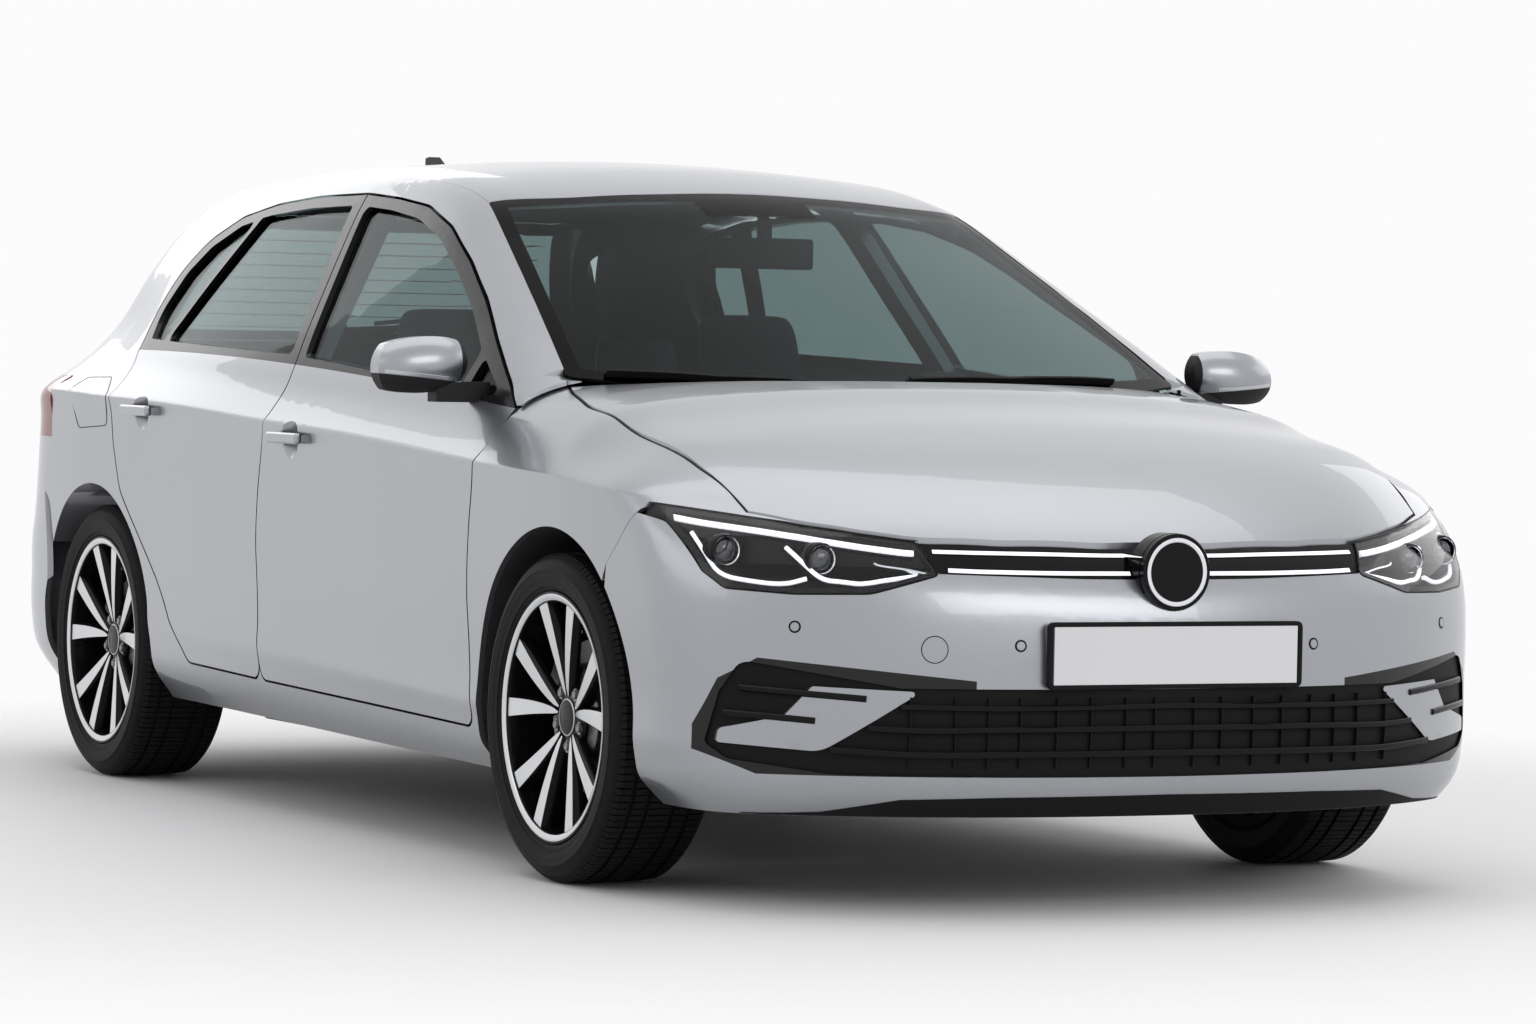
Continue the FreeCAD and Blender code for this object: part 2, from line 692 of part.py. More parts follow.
def makeDoors():
    front, frontGlass = makeDoor(frontDoorCorners, [frontWindowShares, quarterFrontShares],
                                 placeOf(0.115), placeOf(0.665))
    rear, rearGlass = makeDoor(rearDoorCorners, [rearWindowShares, quarterRearShares],
                               placeOf(0.565), placeOf(1.025))
    front = withHandle(front, placeOf(0.525), 0.565 * d.roofHeight)
    rear = withHandle(rear, placeOf(0.875), 0.593 * d.roofHeight)
    for name, shape in (("front_door", front), ("front_door_glass", frontGlass),
                        ("rear_door", rear), ("rear_door_glass", rearGlass)):
        addNode(name + "_left", shape)
        addNode(name + "_right", mirrored(shape))
    return front.multiFuse(frontGlass.Solids)


# Top view outlines: station, then a share of half the width, then the corner radius share.
screenShares = [(0.4110, 0.628, 0.004), (0.394, 0.45, 0.2), (0.386, 0.20, 0.2), (0.386, -0.20, 0.2),
                (0.394, -0.45, 0.2), (0.4110, -0.628, 0.004), (0.134, -0.782, 0.01), (0.095, -0.60, 0.2),
                (0.068, -0.30, 0.3), (0.061, 0.0, 0.3), (0.068, 0.30, 0.3), (0.095, 0.60, 0.2),
                (0.134, 0.782, 0.01)]
roofEdgeShares = [(0.4110, 0.628), (0.455, 0.622), (0.60, 0.620), (0.80, 0.610), (1.0, 0.590), (1.255, 0.560)]
bonnetSideShares = [(0.1310, 0.785), (0.100, 0.812), (0.045, 0.846), (-0.14, 0.848), (-0.43, 0.840),
                    (-0.617, 0.815)]
bonnetFrontShares = [(-0.700, 0.732), (-0.772, 0.630), (-0.828, 0.527), (-0.870, 0.353), (-0.8955, 0.130)]
tailHingeStation = 1.262


def topCorners(shares, radius):
    return [(placeOf(station), width * halfWidth, radius) for station, width in shares]


def bothSides(corners):
    return corners + [(x, -y, radius) for x, y, radius in reversed(corners)]


def roofCorners():
    edge = topCorners(roofEdgeShares, 0.2 * d.wheelbase)
    edge[0] = (edge[0][0], edge[0][1], 0)
    edge[-1] = (placeOf(tailHingeStation), edge[-1][1], 0)
    header = [(placeOf(station), share * halfWidth, radius * d.wheelbase)
              for station, share, radius in screenShares[1:5]]
    return anticlockwise(bothSides(edge) + list(reversed(header)))


def screenCorners():
    return anticlockwise([(placeOf(station), share * halfWidth, radius * d.wheelbase)
                          for station, share, radius in screenShares])


def bonnetCorners():
    side = topCorners(bonnetSideShares, 0.1 * d.wheelbase)
    front = topCorners(bonnetFrontShares, 0.15 * d.wheelbase)
    half = side + front
    rear = [(placeOf(0.098), 0.6 * halfWidth, 0.2 * d.wheelbase),
            (placeOf(0.071), 0.3 * halfWidth, 0.2 * d.wheelbase),
            (placeOf(0.064), 0, 0.2 * d.wheelbase)]
    rear = [(x + d.overrun, y, radius) for x, y, radius in rear]
    half[0] = (half[0][0] + d.overrun / 4, half[0][1], 0)
    half[5] = (half[5][0], half[5][1], 0)
    other = [(x, -y, radius) for x, y, radius in reversed(half)]
    otherRear = [(x, -y, radius) for x, y, radius in rear[:2]]
    return anticlockwise(half + other + otherRear + [rear[2]] + list(reversed(rear[:2])))


def notBowed(x, y):
    return 0


def makeRoof():
    xs = spread(placeOf(0.36), placeOf(1.30), 34)
    ys = spread(-0.72 * halfWidth, 0.72 * halfWidth, 25)
    grid = upRays(cabinField, xs, ys, 0.6 * d.roofHeight, notBowed)
    wall = sheetFrom(grid, 0, d.roofDepth)
    inset = offsetCorners(roofCorners(), -d.seamGap / 2)
    return biggestSolid(wall.common(topPrism(inset, d.roofHeight / 2, d.roofHeight + d.overrun)))


def makeScreen():
    xs = spread(placeOf(0.45), placeOf(0.03), 26)
    ys = spread(-0.84 * halfWidth, 0.84 * halfWidth, 25)
    grid = upRays(cabinField, xs, ys, 0.5 * d.roofHeight, notBowed)
    wall = sheetFrom(grid, -d.fitGap * 5, d.fitGap * 5 + d.glassPane)
    inset = offsetCorners(screenCorners(), -d.fitGap)
    return biggestSolid(wall.common(topPrism(inset, d.roofHeight / 2, d.roofHeight + d.overrun)))


def makeBonnet():
    xs = spread(placeOf(0.16), placeOf(-0.93), 34)
    ys = spread(-0.88 * halfWidth, 0.88 * halfWidth, 31)
    def bowed(x, y):
        bow = bowAt(y)
        share = min(max((frontAxle + d.frontOverhang * 0.2 - x) / -d.frontOverhang / 0.72, 0), 1)
        return share * (nosePlanShares[0] * bow + nosePlanShares[1] * bow ** 2) * d.frontOverhang
    grid = upRays(noseField, xs, ys, 0.30 * d.roofHeight, bowed)
    wall = sheetFrom(grid, 0, d.bonnetDepth)
    inset = offsetCorners(bonnetCorners(), -d.shutGap / 2)
    return biggestSolid(wall.common(topPrism(inset, d.roofHeight / 3, d.roofHeight)))


def archSlot(axleX, radius, inner, growth):
    centre = FreeCAD.Vector(axleX, inner, wheelRadius)
    across = halfWidth + d.overrun - inner
    ring = Part.makeCylinder(radius + growth, across, centre, FreeCAD.Vector(0, 1, 0))
    low = block(FreeCAD.Vector(axleX - radius - growth, inner, -d.overrun),
                FreeCAD.Vector(axleX + radius + growth, inner + across, wheelRadius))
    return ring.fuse(low)


sideFrameShares = [(0.1100, 0.08, 0), (0.1100, 0.655, 0.0), (0.145, 0.668, 0.0), (0.145, 0.75, 0),
                   (0.35, 1.02, 0), (1.90, 1.02, 0), (1.90, 0.60, 0), (1.64, 0.475, 0.05),
                   (1.40, 0.445, 0.02), (1.30, 0.08, 0)]
fenderShares = [(0.1310, 0.6240, 0), (0.1440, 0.55, 0.10), (0.1520, 0.47, 0.08), (0.1560, 0.36, 0.08),
                (0.1530, 0.24, 0.05), (0.1480, 0.14, 0.0), (0.0, 0.08, 0), (-0.30, 0.430, 0),
                (-0.445, 0.508, 0.01), (-0.70, 0.489, 0), (-0.80, 0.489, 0), (-0.80, 0.60, 0),
                (0.06, 0.72, 0), (0.140, 0.668, 0.0)]


def frameColumns():
    columns = [(x, squareTurn) for x in spread(placeOf(0.095), placeOf(1.28), 38)]
    pivot = columns[-1][0]
    columns += [(pivot, math.radians(90 + turn))
                for turn in (1.5, 4, 7, 11, 16, 22, 29, 37, 46, 55, 64, 72, 80)]
    return columns


def lampPocketCorners(growth):
    corners = [(share * halfWidth, height * d.roofHeight, radius * d.wheelbase)
               for share, height, radius in tailLampShares]
    return offsetCorners(anticlockwise(corners), growth)


# Face outlines: share of half the width, height share, corner radius share of the wheelbase.
tailLampShares = [(1.10, 0.6420, 0.0), (0.800, 0.6430, 0.008), (0.690, 0.6200, 0.008), (0.700, 0.540, 0.008),
                  (0.830, 0.5300, 0.008), (1.10, 0.5500, 0.0)]
tailgateShares = [(0.700, 0.4450, 0.012), (0.765, 0.560, 0.05), (0.760, 0.660, 0.05), (0.690, 0.740, 0.1),
                  (0.500, 1.100, 0.0)]
backlightShares = [(0.640, 0.7050, 0.012), (0.610, 0.760, 0.05), (0.500, 0.915, 0.02)]
tailLampFrontStation = 1.38


def tailgateCorners():
    corners = [(share * halfWidth, height * d.roofHeight, radius * d.wheelbase)
               for share, height, radius in tailgateShares]
    return anticlockwise(corners + [(-y, z, radius) for y, z, radius in reversed(corners)])


def gateRing(corners, growth, extra):
    grown = offsetCorners(anticlockwise(corners), growth)

    def skinAt(point):
        return tailFace(point[0], point[1])

    def depthAt(point):
        # deeper towards the top, where the gate runs on over the roof
        share = min(max((point[1] / d.roofHeight - 0.70) / 0.15, 0), 1)
        hinge = placeOf(tailHingeStation) + d.overrun - tailFace(point[0], point[1])
        return between(d.tailgateDepth + d.trimWidth, hinge, share) + extra

    def place(point, skin, depth):
        return FreeCAD.Vector(skin + depth, point[0], point[1])
    return ringAround(grown, d.gateTaperShare, d.overrun * 2, skinAt, depthAt, place)


def tailRows():
    shares = (0.40, 0.425, 0.45, 0.475, 0.50, 0.53, 0.56, 0.59, 0.62, 0.65, 0.675, 0.70)
    return [(lambda x, share=share: (share * d.roofHeight, 0)) for share in shares]


def gateRays(count):
    # rays that fan out over the tail face and stand side by side over the back window
    grid = []
    low = (0.40, 0.425, 0.45, 0.475, 0.50, 0.53, 0.56, 0.59, 0.62, 0.65, 0.675)
    settings = [(share * d.roofHeight, 0, 0) for share in low]
    for share in (0.04, 0.10, 0.17, 0.25, 0.33, 0.41, 0.50, 0.58, 0.66, 0.74, 0.81, 0.88, 0.94, 1.0):
        settings.append((0.70 * d.roofHeight, math.radians(80) * share, share))
    for height, rise, share in settings:
        line = []
        halfSpread = between(0.22, 0.66, share) * halfWidth
        fan = between(math.radians(58), math.radians(8), share)
        startX = between(placeOf(1.12), placeOf(1.21), share)
        for along in spread(-1, 1, count):
            origin = FreeCAD.Vector(startX, -along * halfSpread, height)
            turn = math.pi + along * fan
            ray = FreeCAD.Vector(math.cos(rise) * math.cos(turn), math.cos(rise) * math.sin(turn),
                                 math.sin(rise))
            line.append((origin + ray * reachAt(cabinField, origin, ray), ray))
        grid.append(line)
    return grid


def makeTailgate():
    grid = gateRays(31)
    wall = sheetFrom(grid, 0, d.tailgateDepth)
    heart = FreeCAD.Vector(tailFace(0, 0.6 * d.roofHeight) + d.tailgateDepth / 2, 0, 0.6 * d.roofHeight)
    gate = pieceWith(wall, gateRing(tailgateCorners(), -d.shutGap / 2, 0), heart)
    behind = block(FreeCAD.Vector(-halfLength - d.overrun, -halfWidth, 0),
                   FreeCAD.Vector(placeOf(tailHingeStation) - d.shutGap, halfWidth, d.roofHeight + d.overrun))
    gate = biggestSolid(gate.common(behind))
    corners = [(share * halfWidth, height * d.roofHeight, radius * d.wheelbase)
               for share, height, radius in backlightShares]
    opening = anticlockwise(corners + [(-y, z, radius) for y, z, radius in reversed(corners)])
    hole = facePrism(opening, -halfLength - d.overrun, placeOf(1.15))
    gate = biggestSolid(gate.cut(hole))
    glassWall = sheetFrom(grid, -d.fitGap * 5, d.fitGap * 5 + d.glassPane)
    pane = facePrism(offsetCorners(opening, -d.fitGap), -halfLength - d.overrun, placeOf(1.20))
    glass = biggestSolid(glassWall.common(pane))
    return gate, glass


def doorway(corners):
    return sidePrism(offsetCorners(anticlockwise(corners), d.shutGap / 2), d.sillInner / 3,
                     halfWidth + d.overrun)


def gateway():
    outline = offsetCorners(tailgateCorners(), d.shutGap / 2)
    return facePrism(outline, -halfLength - d.overrun, placeOf(tailHingeStation))


def makeSideFrame():
    grid = sideRays(cabinField, sideSpine, frameColumns(), sideRowHeights())
    wall = sheetFrom(grid, 0, innerSillDepth)
    frame = wall.common(sidePrism(anticlockwise(cornersFrom(sideFrameShares)), d.sillInner / 3,
                                  halfWidth + d.overrun))
    frame = frame.cut(doorway(frontDoorCorners)).cut(doorway(rearDoorCorners))
    frame = frame.cut(archSlot(rearAxle, d.archRadius, d.sillInner / 2, 0))
    frame = frame.cut(archSlot(frontAxle, d.archRadius, d.sillInner / 2, d.archWall + d.fitGap))
    bonnetOpening = offsetCorners(bonnetCorners(), d.shutGap)
    frame = frame.cut(topPrism(bonnetOpening, 0.60 * d.roofHeight, d.roofHeight))
    roofOpening = offsetCorners(roofCorners(), d.seamGap / 2)
    frame = frame.cut(topPrism(roofOpening, d.roofHeight / 2, d.roofHeight + d.overrun))
    frame = frame.cut(topPrism(screenCorners(), d.roofHeight / 2, d.roofHeight + d.overrun))
    frame = frame.cut(gateway())
    fenderRecess = makeFenderWall(d.overrun / 4, d.skin + d.fitGap * 2)
    ahead = sidePrism(offsetCorners(anticlockwise(cornersFrom(fenderShares)), d.fitGap), 0,
                      halfWidth + d.overrun)
    frame = frame.cut(fenderRecess.common(ahead))
    pocket = facePrism(lampPocketCorners(d.fitGap), -halfLength, placeOf(tailLampFrontStation))
    frame = frame.cut(pocket)
    cowlRoom = block(FreeCAD.Vector(placeOf(0.128), 0.6 * halfWidth, 0.618 * d.roofHeight),
                     FreeCAD.Vector(placeOf(0.05), halfWidth + d.overrun, 0.75 * d.roofHeight))
    frame = frame.cut(cowlRoom)
    post = makeMiddlePost()
    return biggestSolid(biggestSolid(frame).fuse(post))


def makeMiddlePost():
    # pillar behind the shut line of the two doors, set in past their inner faces
    columns = [(x, squareTurn) for x in spread(placeOf(0.53), placeOf(0.70), 9)]
    grid = sideRays(cabinField, sideSpine, columns, sideRowHeights())

    def near(point, ray):
        return doorDepthAt(point, ray) + d.fitGap * 1.5
    setIn = [[(point - ray * near(point, ray), ray) for point, ray in line] for line in grid]
    wall = sheetFrom(setIn, 0, d.frameDepth)
    spine = cornersFrom(middleShutShares)
    width = d.trimWidth * 1.6
    strip = [(x + width, z, 0) for x, z, radius in spine]
    strip += [(x - width, z, 0) for x, z, radius in reversed(spine)]
    top = (strip[6][0], strip[6][1] + d.railDepth, 0)
    other = (strip[7][0], strip[7][1] + d.railDepth, 0)
    low = (strip[0][0], strip[0][1] - d.trimWidth, 0)
    lowOther = (strip[-1][0], strip[-1][1] - d.trimWidth, 0)
    strip = [low] + strip[1:6] + [top, other] + strip[8:13] + [lowOther]
    return wall.common(sidePrism(anticlockwise(strip), d.sillInner / 3, halfWidth))


def fenderColumns():
    columns = [(x, squareTurn) for x in spread(placeOf(0.19), placeOf(-0.20), 18)]
    pivot = columns[-1][0]
    columns += [(pivot, math.radians(90 - turn)) for turn in (2, 5, 9, 14, 19, 25, 31, 37, 43, 49)]
    return columns


def fenderRows():
    def rising(share):
        def at(x):
            shoulder = heightAt(shoulderShares, x)
            belt = between(shoulder, heightAt(beltShares, x), 0.35)
            return between(belt, 0.50 * d.roofHeight, share), math.radians(72) * share
        return at
    rows = sideRowHeights()[:22]
    rows += [rising(share) for share in (0.0, 0.12, 0.24, 0.36, 0.48, 0.60, 0.72, 0.84, 0.94)]
    return rows


def makeFenderWall(outset, depth):
    grid = sideRays(noseField, 0.25 * halfWidth, fenderColumns(), fenderRows())
    return sheetFrom(grid, outset, depth)


def makeFender():
    wall = makeFenderWall(0, d.skin)
    outline = offsetCorners(anticlockwise(cornersFrom(fenderShares)), -d.seamGap / 2)
    fender = wall.common(sidePrism(outline, d.sillInner / 3, halfWidth + d.overrun))
    fender = fender.cut(doorway(frontDoorCorners))
    fender = fender.cut(archSlot(frontAxle, d.archRadius, d.sillInner / 2, 0))
    opening = offsetCorners(bonnetCorners(), d.shutGap / 2)
    fender = fender.cut(topPrism(opening, d.roofHeight / 3, d.roofHeight))
    cowlRoom = block(FreeCAD.Vector(placeOf(0.20), 0, d.roofHeight / 2),
                     FreeCAD.Vector(placeOf(0.05), bonnetSideShares[0][1] * halfWidth + d.shutGap / 2,
                                    d.roofHeight))
    fender = fender.cut(cowlRoom)
    lamp = offsetCorners(anticlockwise(faceCorners(lampShares)), d.fitGap)
    return biggestSolid(fender.cut(facePrism(lamp, placeOf(-0.445), halfLength + d.overrun)))


# Front face outlines: share of half the width, height share, corner radius share.
lampShares = [(1.05, 0.5230, 0.0), (0.953, 0.5130, 0.0), (0.813, 0.4990, 0.1), (0.70, 0.4890, 0.1),
              (0.528, 0.4750, 0.002),
              (0.498, 0.4320, 0.006), (0.644, 0.4060, 0.03), (0.782, 0.4040, 0.03), (0.895, 0.4090, 0.006),
              (0.925, 0.4300, 0.006), (0.953, 0.490, 0.004)]
upperGrilleShares = [(0.530, 0.4720, 0), (0.30, 0.4690, 0.2), (0.0, 0.4660, 0.2), (-0.30, 0.4690, 0.2),
                     (-0.530, 0.4720, 0), (-0.505, 0.4330, 0), (-0.20, 0.4280, 0.2), (0.0, 0.4270, 0.2),
                     (0.20, 0.4280, 0.2), (0.505, 0.4330, 0)]
lowerGrilleShares = [(0.590, 0.2890, 0.01), (0.873, 0.3200, 0.008), (0.905, 0.2800, 0.008),
                     (0.925, 0.2150, 0.006),
                     (0.890, 0.1960, 0.01), (0.716, 0.1800, 0.05), (0.40, 0.1780, 0.1), (0.0, 0.1775, 0.1)]


badgeHeightShare = 0.4370
badgeRadiusShare = 0.0500
bladeShares = [(0.552, 0.285, 0.002), (0.752, 0.290, 0.002), (0.800, 0.2520, 0.004), (0.905, 0.2340, 0.004),
               (0.908, 0.2160, 0.002), (0.735, 0.2080, 0.02)]


def badgeCylinder(growth):
    centre = FreeCAD.Vector(noseFace(0, badgeHeightShare * d.roofHeight) - d.trimWidth, 0,
                            badgeHeightShare * d.roofHeight)
    radius = badgeRadiusShare * d.roofHeight + growth
    return Part.makeCylinder(radius, d.trimWidth * 1.4, centre, FreeCAD.Vector(1, 0, 0))


def faceCorners(shares):
    return [(share * halfWidth, height * d.roofHeight, radius * d.wheelbase) for share, height,
            radius in shares]


def lowerGrilleCorners():
    half = faceCorners(lowerGrilleShares)
    return anticlockwise(half[:-1] + [half[-1]] + [(-y, z, radius) for y, z, radius in reversed(half[:-1])])


def bumperColumns(span, count):
    return [(frontAxle - d.frontOverhang * 0.05, angle) for angle in spread(-span, span, count)]


def noseRows():
    shares = (0.125, 0.135, 0.147, 0.16, 0.175, 0.19, 0.21, 0.24, 0.27, 0.30, 0.33, 0.36, 0.385, 0.405, 0.42,
              0.435, 0.45, 0.465, 0.48, 0.495, 0.51, 0.525, 0.54)
    return [(lambda x, share=share: (share * d.roofHeight, 0)) for share in shares]


def makeFrontBumper():
    grid = sideRays(noseField, 0, bumperColumns(math.radians(72), 47), noseRows())
    wall = sheetFrom(grid, 0, d.bumperDepth)
    outline = [(placeOf(-0.24), 0.10 * d.roofHeight, 0), (placeOf(-0.30), 0.430 * d.roofHeight, 0),
               (placeOf(-0.445), 0.508 * d.roofHeight, 0), (placeOf(-0.70), 0.4890 * d.roofHeight, 0),
               (placeOf(-1.1), 0.4300 * d.roofHeight, 0), (placeOf(-1.1), 0.10 * d.roofHeight, 0)]
    outline = offsetCorners(anticlockwise(outline), -d.seamGap / 2)
    bumper = wall.common(sidePrism(outline, -halfWidth - d.overrun, halfWidth + d.overrun))
    arch = archSlot(frontAxle, d.archRadius, d.sillInner / 2, 0)
    bumper = bumper.cut(arch)
    bumper = bumper.cut(mirrored(arch))
    for side in (1, -1):
        lamp = [(side * y, z, radius) for y, z, radius in faceCorners(lampShares)]
        lamp = offsetCorners(anticlockwise(lamp), d.fitGap)
        bumper = bumper.cut(facePrism(lamp, frontAxle, halfLength + d.overrun))
    upper = offsetCorners(anticlockwise(faceCorners(upperGrilleShares)), d.fitGap)
    bumper = bumper.cut(facePrism(upper, frontAxle, halfLength + d.overrun))
    lower = offsetCorners(lowerGrilleCorners(), d.fitGap)
    bumper = bumper.cut(facePrism(lower, frontAxle, halfLength + d.overrun))
    opening = offsetCorners(bonnetCorners(), d.shutGap / 2)
    bumper = bumper.cut(topPrism(opening, 0.45 * d.roofHeight, d.roofHeight))
    bumper = bumper.cut(badgeCylinder(d.fitGap))
    lampWall = sheetFrom(grid, -d.fitGap, d.lampDepth)
    grilleWall = sheetFrom(grid, -d.skin / 2, d.skin * 2.5)
    bladeWall = sheetFrom(grid, 0, d.skin / 2 - d.fitGap)
    blades = bladeWall.common(facePrism(anticlockwise(faceCorners(bladeShares)), frontAxle,
                                        halfLength + d.overrun))
    return biggestSolid(bumper), lampWall, grilleWall, biggestSolid(blades)


def makeLamp(lampWall):
    lamp = offsetCorners(anticlockwise(faceCorners(lampShares)), -d.fitGap)
    shape = lampWall.common(facePrism(lamp, frontAxle + d.frontOverhang * 0.3, halfLength + d.overrun))
    opening = offsetCorners(bonnetCorners(), d.shutGap)
    shape = shape.cut(topPrism(opening, d.roofHeight * 0.44, d.roofHeight))
    upper = offsetCorners(anticlockwise(faceCorners(upperGrilleShares)), d.fitGap)
    shape = shape.cut(facePrism(upper, frontAxle, halfLength + d.overrun))
    ahead = [(placeOf(-0.445), 0.3 * d.roofHeight, 0), (placeOf(-0.460), 0.60 * d.roofHeight, 0),
             (placeOf(-1.1), 0.60 * d.roofHeight, 0), (placeOf(-1.1), 0.3 * d.roofHeight, 0)]
    return biggestSolid(shape.common(sidePrism(anticlockwise(ahead), 0, halfWidth + d.overrun)))


def makeGrilles(grilleWall):
    upper = offsetCorners(anticlockwise(faceCorners(upperGrilleShares)), -d.fitGap)
    bar = grilleWall.common(facePrism(upper, frontAxle, halfLength + d.overrun))
    bar = bar.cut(topPrism(offsetCorners(bonnetCorners(), d.shutGap), 0.4 * d.roofHeight, d.roofHeight))
    bar = biggestSolid(bar.fuse(badgeCylinder(0)))
    lower = offsetCorners(lowerGrilleCorners(), -d.fitGap)
    mouth = biggestSolid(grilleWall.common(facePrism(lower, frontAxle, halfLength + d.overrun)))
    return bar, mouth


def makeRearBumper():
    pivot = placeOf(1.10)
    columns = [(pivot, math.pi + angle) for angle in spread(-math.radians(73), math.radians(73), 41)]
    shares = (0.125, 0.137, 0.15, 0.165, 0.185, 0.21, 0.24, 0.275, 0.31, 0.34, 0.37, 0.395, 0.415, 0.435,
              0.455, 0.475, 0.495, 0.515)
    rows = [(lambda x, share=share: (share * d.roofHeight, 0)) for share in shares]
    grid = sideRays(cabinField, 0, columns, rows)
    wall = sheetFrom(grid, 0, d.bumperDepth)
    outline = [(placeOf(1.30), 0.14 * d.roofHeight, 0),
               (placeOf(1.40), 0.445 * d.roofHeight, 0.02 * d.wheelbase),
               (placeOf(1.64), 0.475 * d.roofHeight, 0.05 * d.wheelbase),
               (placeOf(1.74), 0.49 * d.roofHeight, 0),
               (placeOf(2.1), 0.49 * d.roofHeight, 0), (placeOf(2.1), 0.14 * d.roofHeight, 0)]
    outline = offsetCorners(anticlockwise(outline), -d.seamGap / 2)
    bumper = wall.common(sidePrism(outline, -halfWidth - d.overrun, halfWidth + d.overrun))
    arch = archSlot(rearAxle, d.archRadius, d.sillInner / 2, 0)
    bumper = bumper.cut(arch)
    bumper = bumper.cut(mirrored(arch))
    return biggestSolid(bumper.cut(gateway()))


def makeTailLamps():
    columns = [(placeOf(1.12), math.pi - angle) for angle in spread(0.0, math.radians(80), 27)]
    grid = sideRays(cabinField, 0, columns, tailRows()[3:])
    wall = sheetFrom(grid, 0, d.railDepth * 0.8)
    corners = lampPocketCorners(-d.fitGap)
    lamp = wall.common(facePrism(corners, -halfLength - d.overrun, placeOf(tailLampFrontStation) - d.fitGap))
    return biggestSolid(lamp.cut(gateway()))


class Term:
    # length with the text that binds it to the spreadsheet
    def __init__(self, value, text):
        self.value = value
        self.text = text

    def joined(self, sign, other, value):
        text = other.text if isinstance(other, Term) else str(other)
        return Term(value, "(" + self.text + " " + sign + " " + text + ")")

    def __add__(self, other):
        return self.joined("+", other, self.value + valueOf(other))

    def __sub__(self, other):
        return self.joined("-", other, self.value - valueOf(other))

    def __mul__(self, other):
        return self.joined("*", other, self.value * valueOf(other))

    def __truediv__(self, other):
        return self.joined("/", other, self.value / valueOf(other))

    def __neg__(self):
        return Term(-self.value, "(-" + self.text + ")")


class Terms:
    def __getattr__(self, name):
        return Term(getattr(d, name), "sizes." + name)


def valueOf(term):
    return term.value if isinstance(term, Term) else term


n = Terms()
none = n.wheelbase * 0


def bind(thing, path, term):
    thing.setExpression(path, term.text)


def addSketch(body, role, corners, arcs=None):
    # closed outline; arcs gives a segment's radius and 1 or -1 where it bends left or right
    sketch = body.newObject("Sketcher::SketchObject", body.Name + "Outline")
    plane = [feature for feature in body.Origin.OriginFeatures if feature.Role == role][0]
    sketch.AttachmentSupport = [(plane, "")]
    sketch.MapMode = "FlatFace"
    arcs = arcs or {}
    count = len(corners)
    for i in range(count):
        start = FreeCAD.Vector(corners[i][0].value, corners[i][1].value, 0)
        end = FreeCAD.Vector(corners[(i + 1) % count][0].value, corners[(i + 1) % count][1].value, 0)
        if i in arcs:
            radius = arcs[i][0].value
            bend = arcs[i][1]
            half = (end - start) / 2
            away = FreeCAD.Vector(-half.y, half.x, 0)
            away.normalize()
            centre = start + half + away * bend * math.sqrt(max(radius ** 2 - half.Length ** 2, 0))
            first, last = (start, end) if bend > 0 else (end, start)
            low = math.atan2(first.y - centre.y, first.x - centre.x)
            high = math.atan2(last.y - centre.y, last.x - centre.x)
            circle = Part.Circle(centre, FreeCAD.Vector(0, 0, 1), radius)
            sketch.addGeometry(Part.ArcOfCircle(circle, low, high if high > low else high + 2 * math.pi),
                               False)
        else:
            sketch.addGeometry(Part.LineSegment(start, end), False)
    for i in range(count):
        after = (i + 1) % count
        here = sketch.Geometry[i]
        there = sketch.Geometry[after]
        start = FreeCAD.Vector(corners[after][0].value, corners[after][1].value, 0)
        own = 1 if (here.StartPoint - start).Length < (here.EndPoint - start).Length else 2
        other = 1 if (there.StartPoint - start).Length < (there.EndPoint - start).Length else 2
        sketch.addConstraint(Sketcher.Constraint("Coincident", i, own, after, other))
        for kind, term in (("DistanceX", corners[after][0]), ("DistanceY", corners[after][1])):
            if abs(term.value) < d.fitGap / 4:
                target = -2 if kind == "DistanceX" else -1
                sketch.addConstraint(Sketcher.Constraint("PointOnObject", after, other, target))
                continue
            index = sketch.addConstraint(Sketcher.Constraint(kind, -1, 1, after, other, term.value))
            bind(sketch, "Constraints[" + str(index) + "]", term)
    for i, (radius, bend) in arcs.items():
        index = sketch.addConstraint(Sketcher.Constraint("Radius", i, radius.value))
        bind(sketch, "Constraints[" + str(index) + "]", radius)
    return sketch


def newBody(name):
    body = doc.addObject("PartDesign::Body", name)
    body.Label = name
    return body


def placeBody(thing, x, y, z):
    bind(thing, "Placement.Base.x", x)
    bind(thing, "Placement.Base.y", y)
    bind(thing, "Placement.Base.z", z)


def addRevolution(body, sketch):
    turned = body.newObject("PartDesign::Revolution", body.Name + "Turned")
    turned.Profile = sketch
    turned.ReferenceAxis = (sketch, ["V_Axis"])
    turned.Angle = 360
    sketch.Visibility = False
    return turned


def keepNode(thing):
    nodes.append(thing)
    return thing


def wheelPlace(corner):
    # wheel centre as terms: axle place, half track and radius
    front = n.overallLength / 2 - n.frontOverhang
    along = front if corner.startswith("front") else front - n.wheelbase
    track = n.frontTrack if corner.startswith("front") else n.rearTrack
    side = 1 if corner.endswith("left") else -1
    return along, track / 2 * side, n.tyreDiameter / 2, side


def standWheel(body, corner):
    x, y, z, side = wheelPlace(corner)
    if side < 0:
        body.Placement = FreeCAD.Placement(FreeCAD.Vector(), FreeCAD.Rotation(FreeCAD.Vector(0, 0, 1), 180))
    placeBody(body, x, y, z)


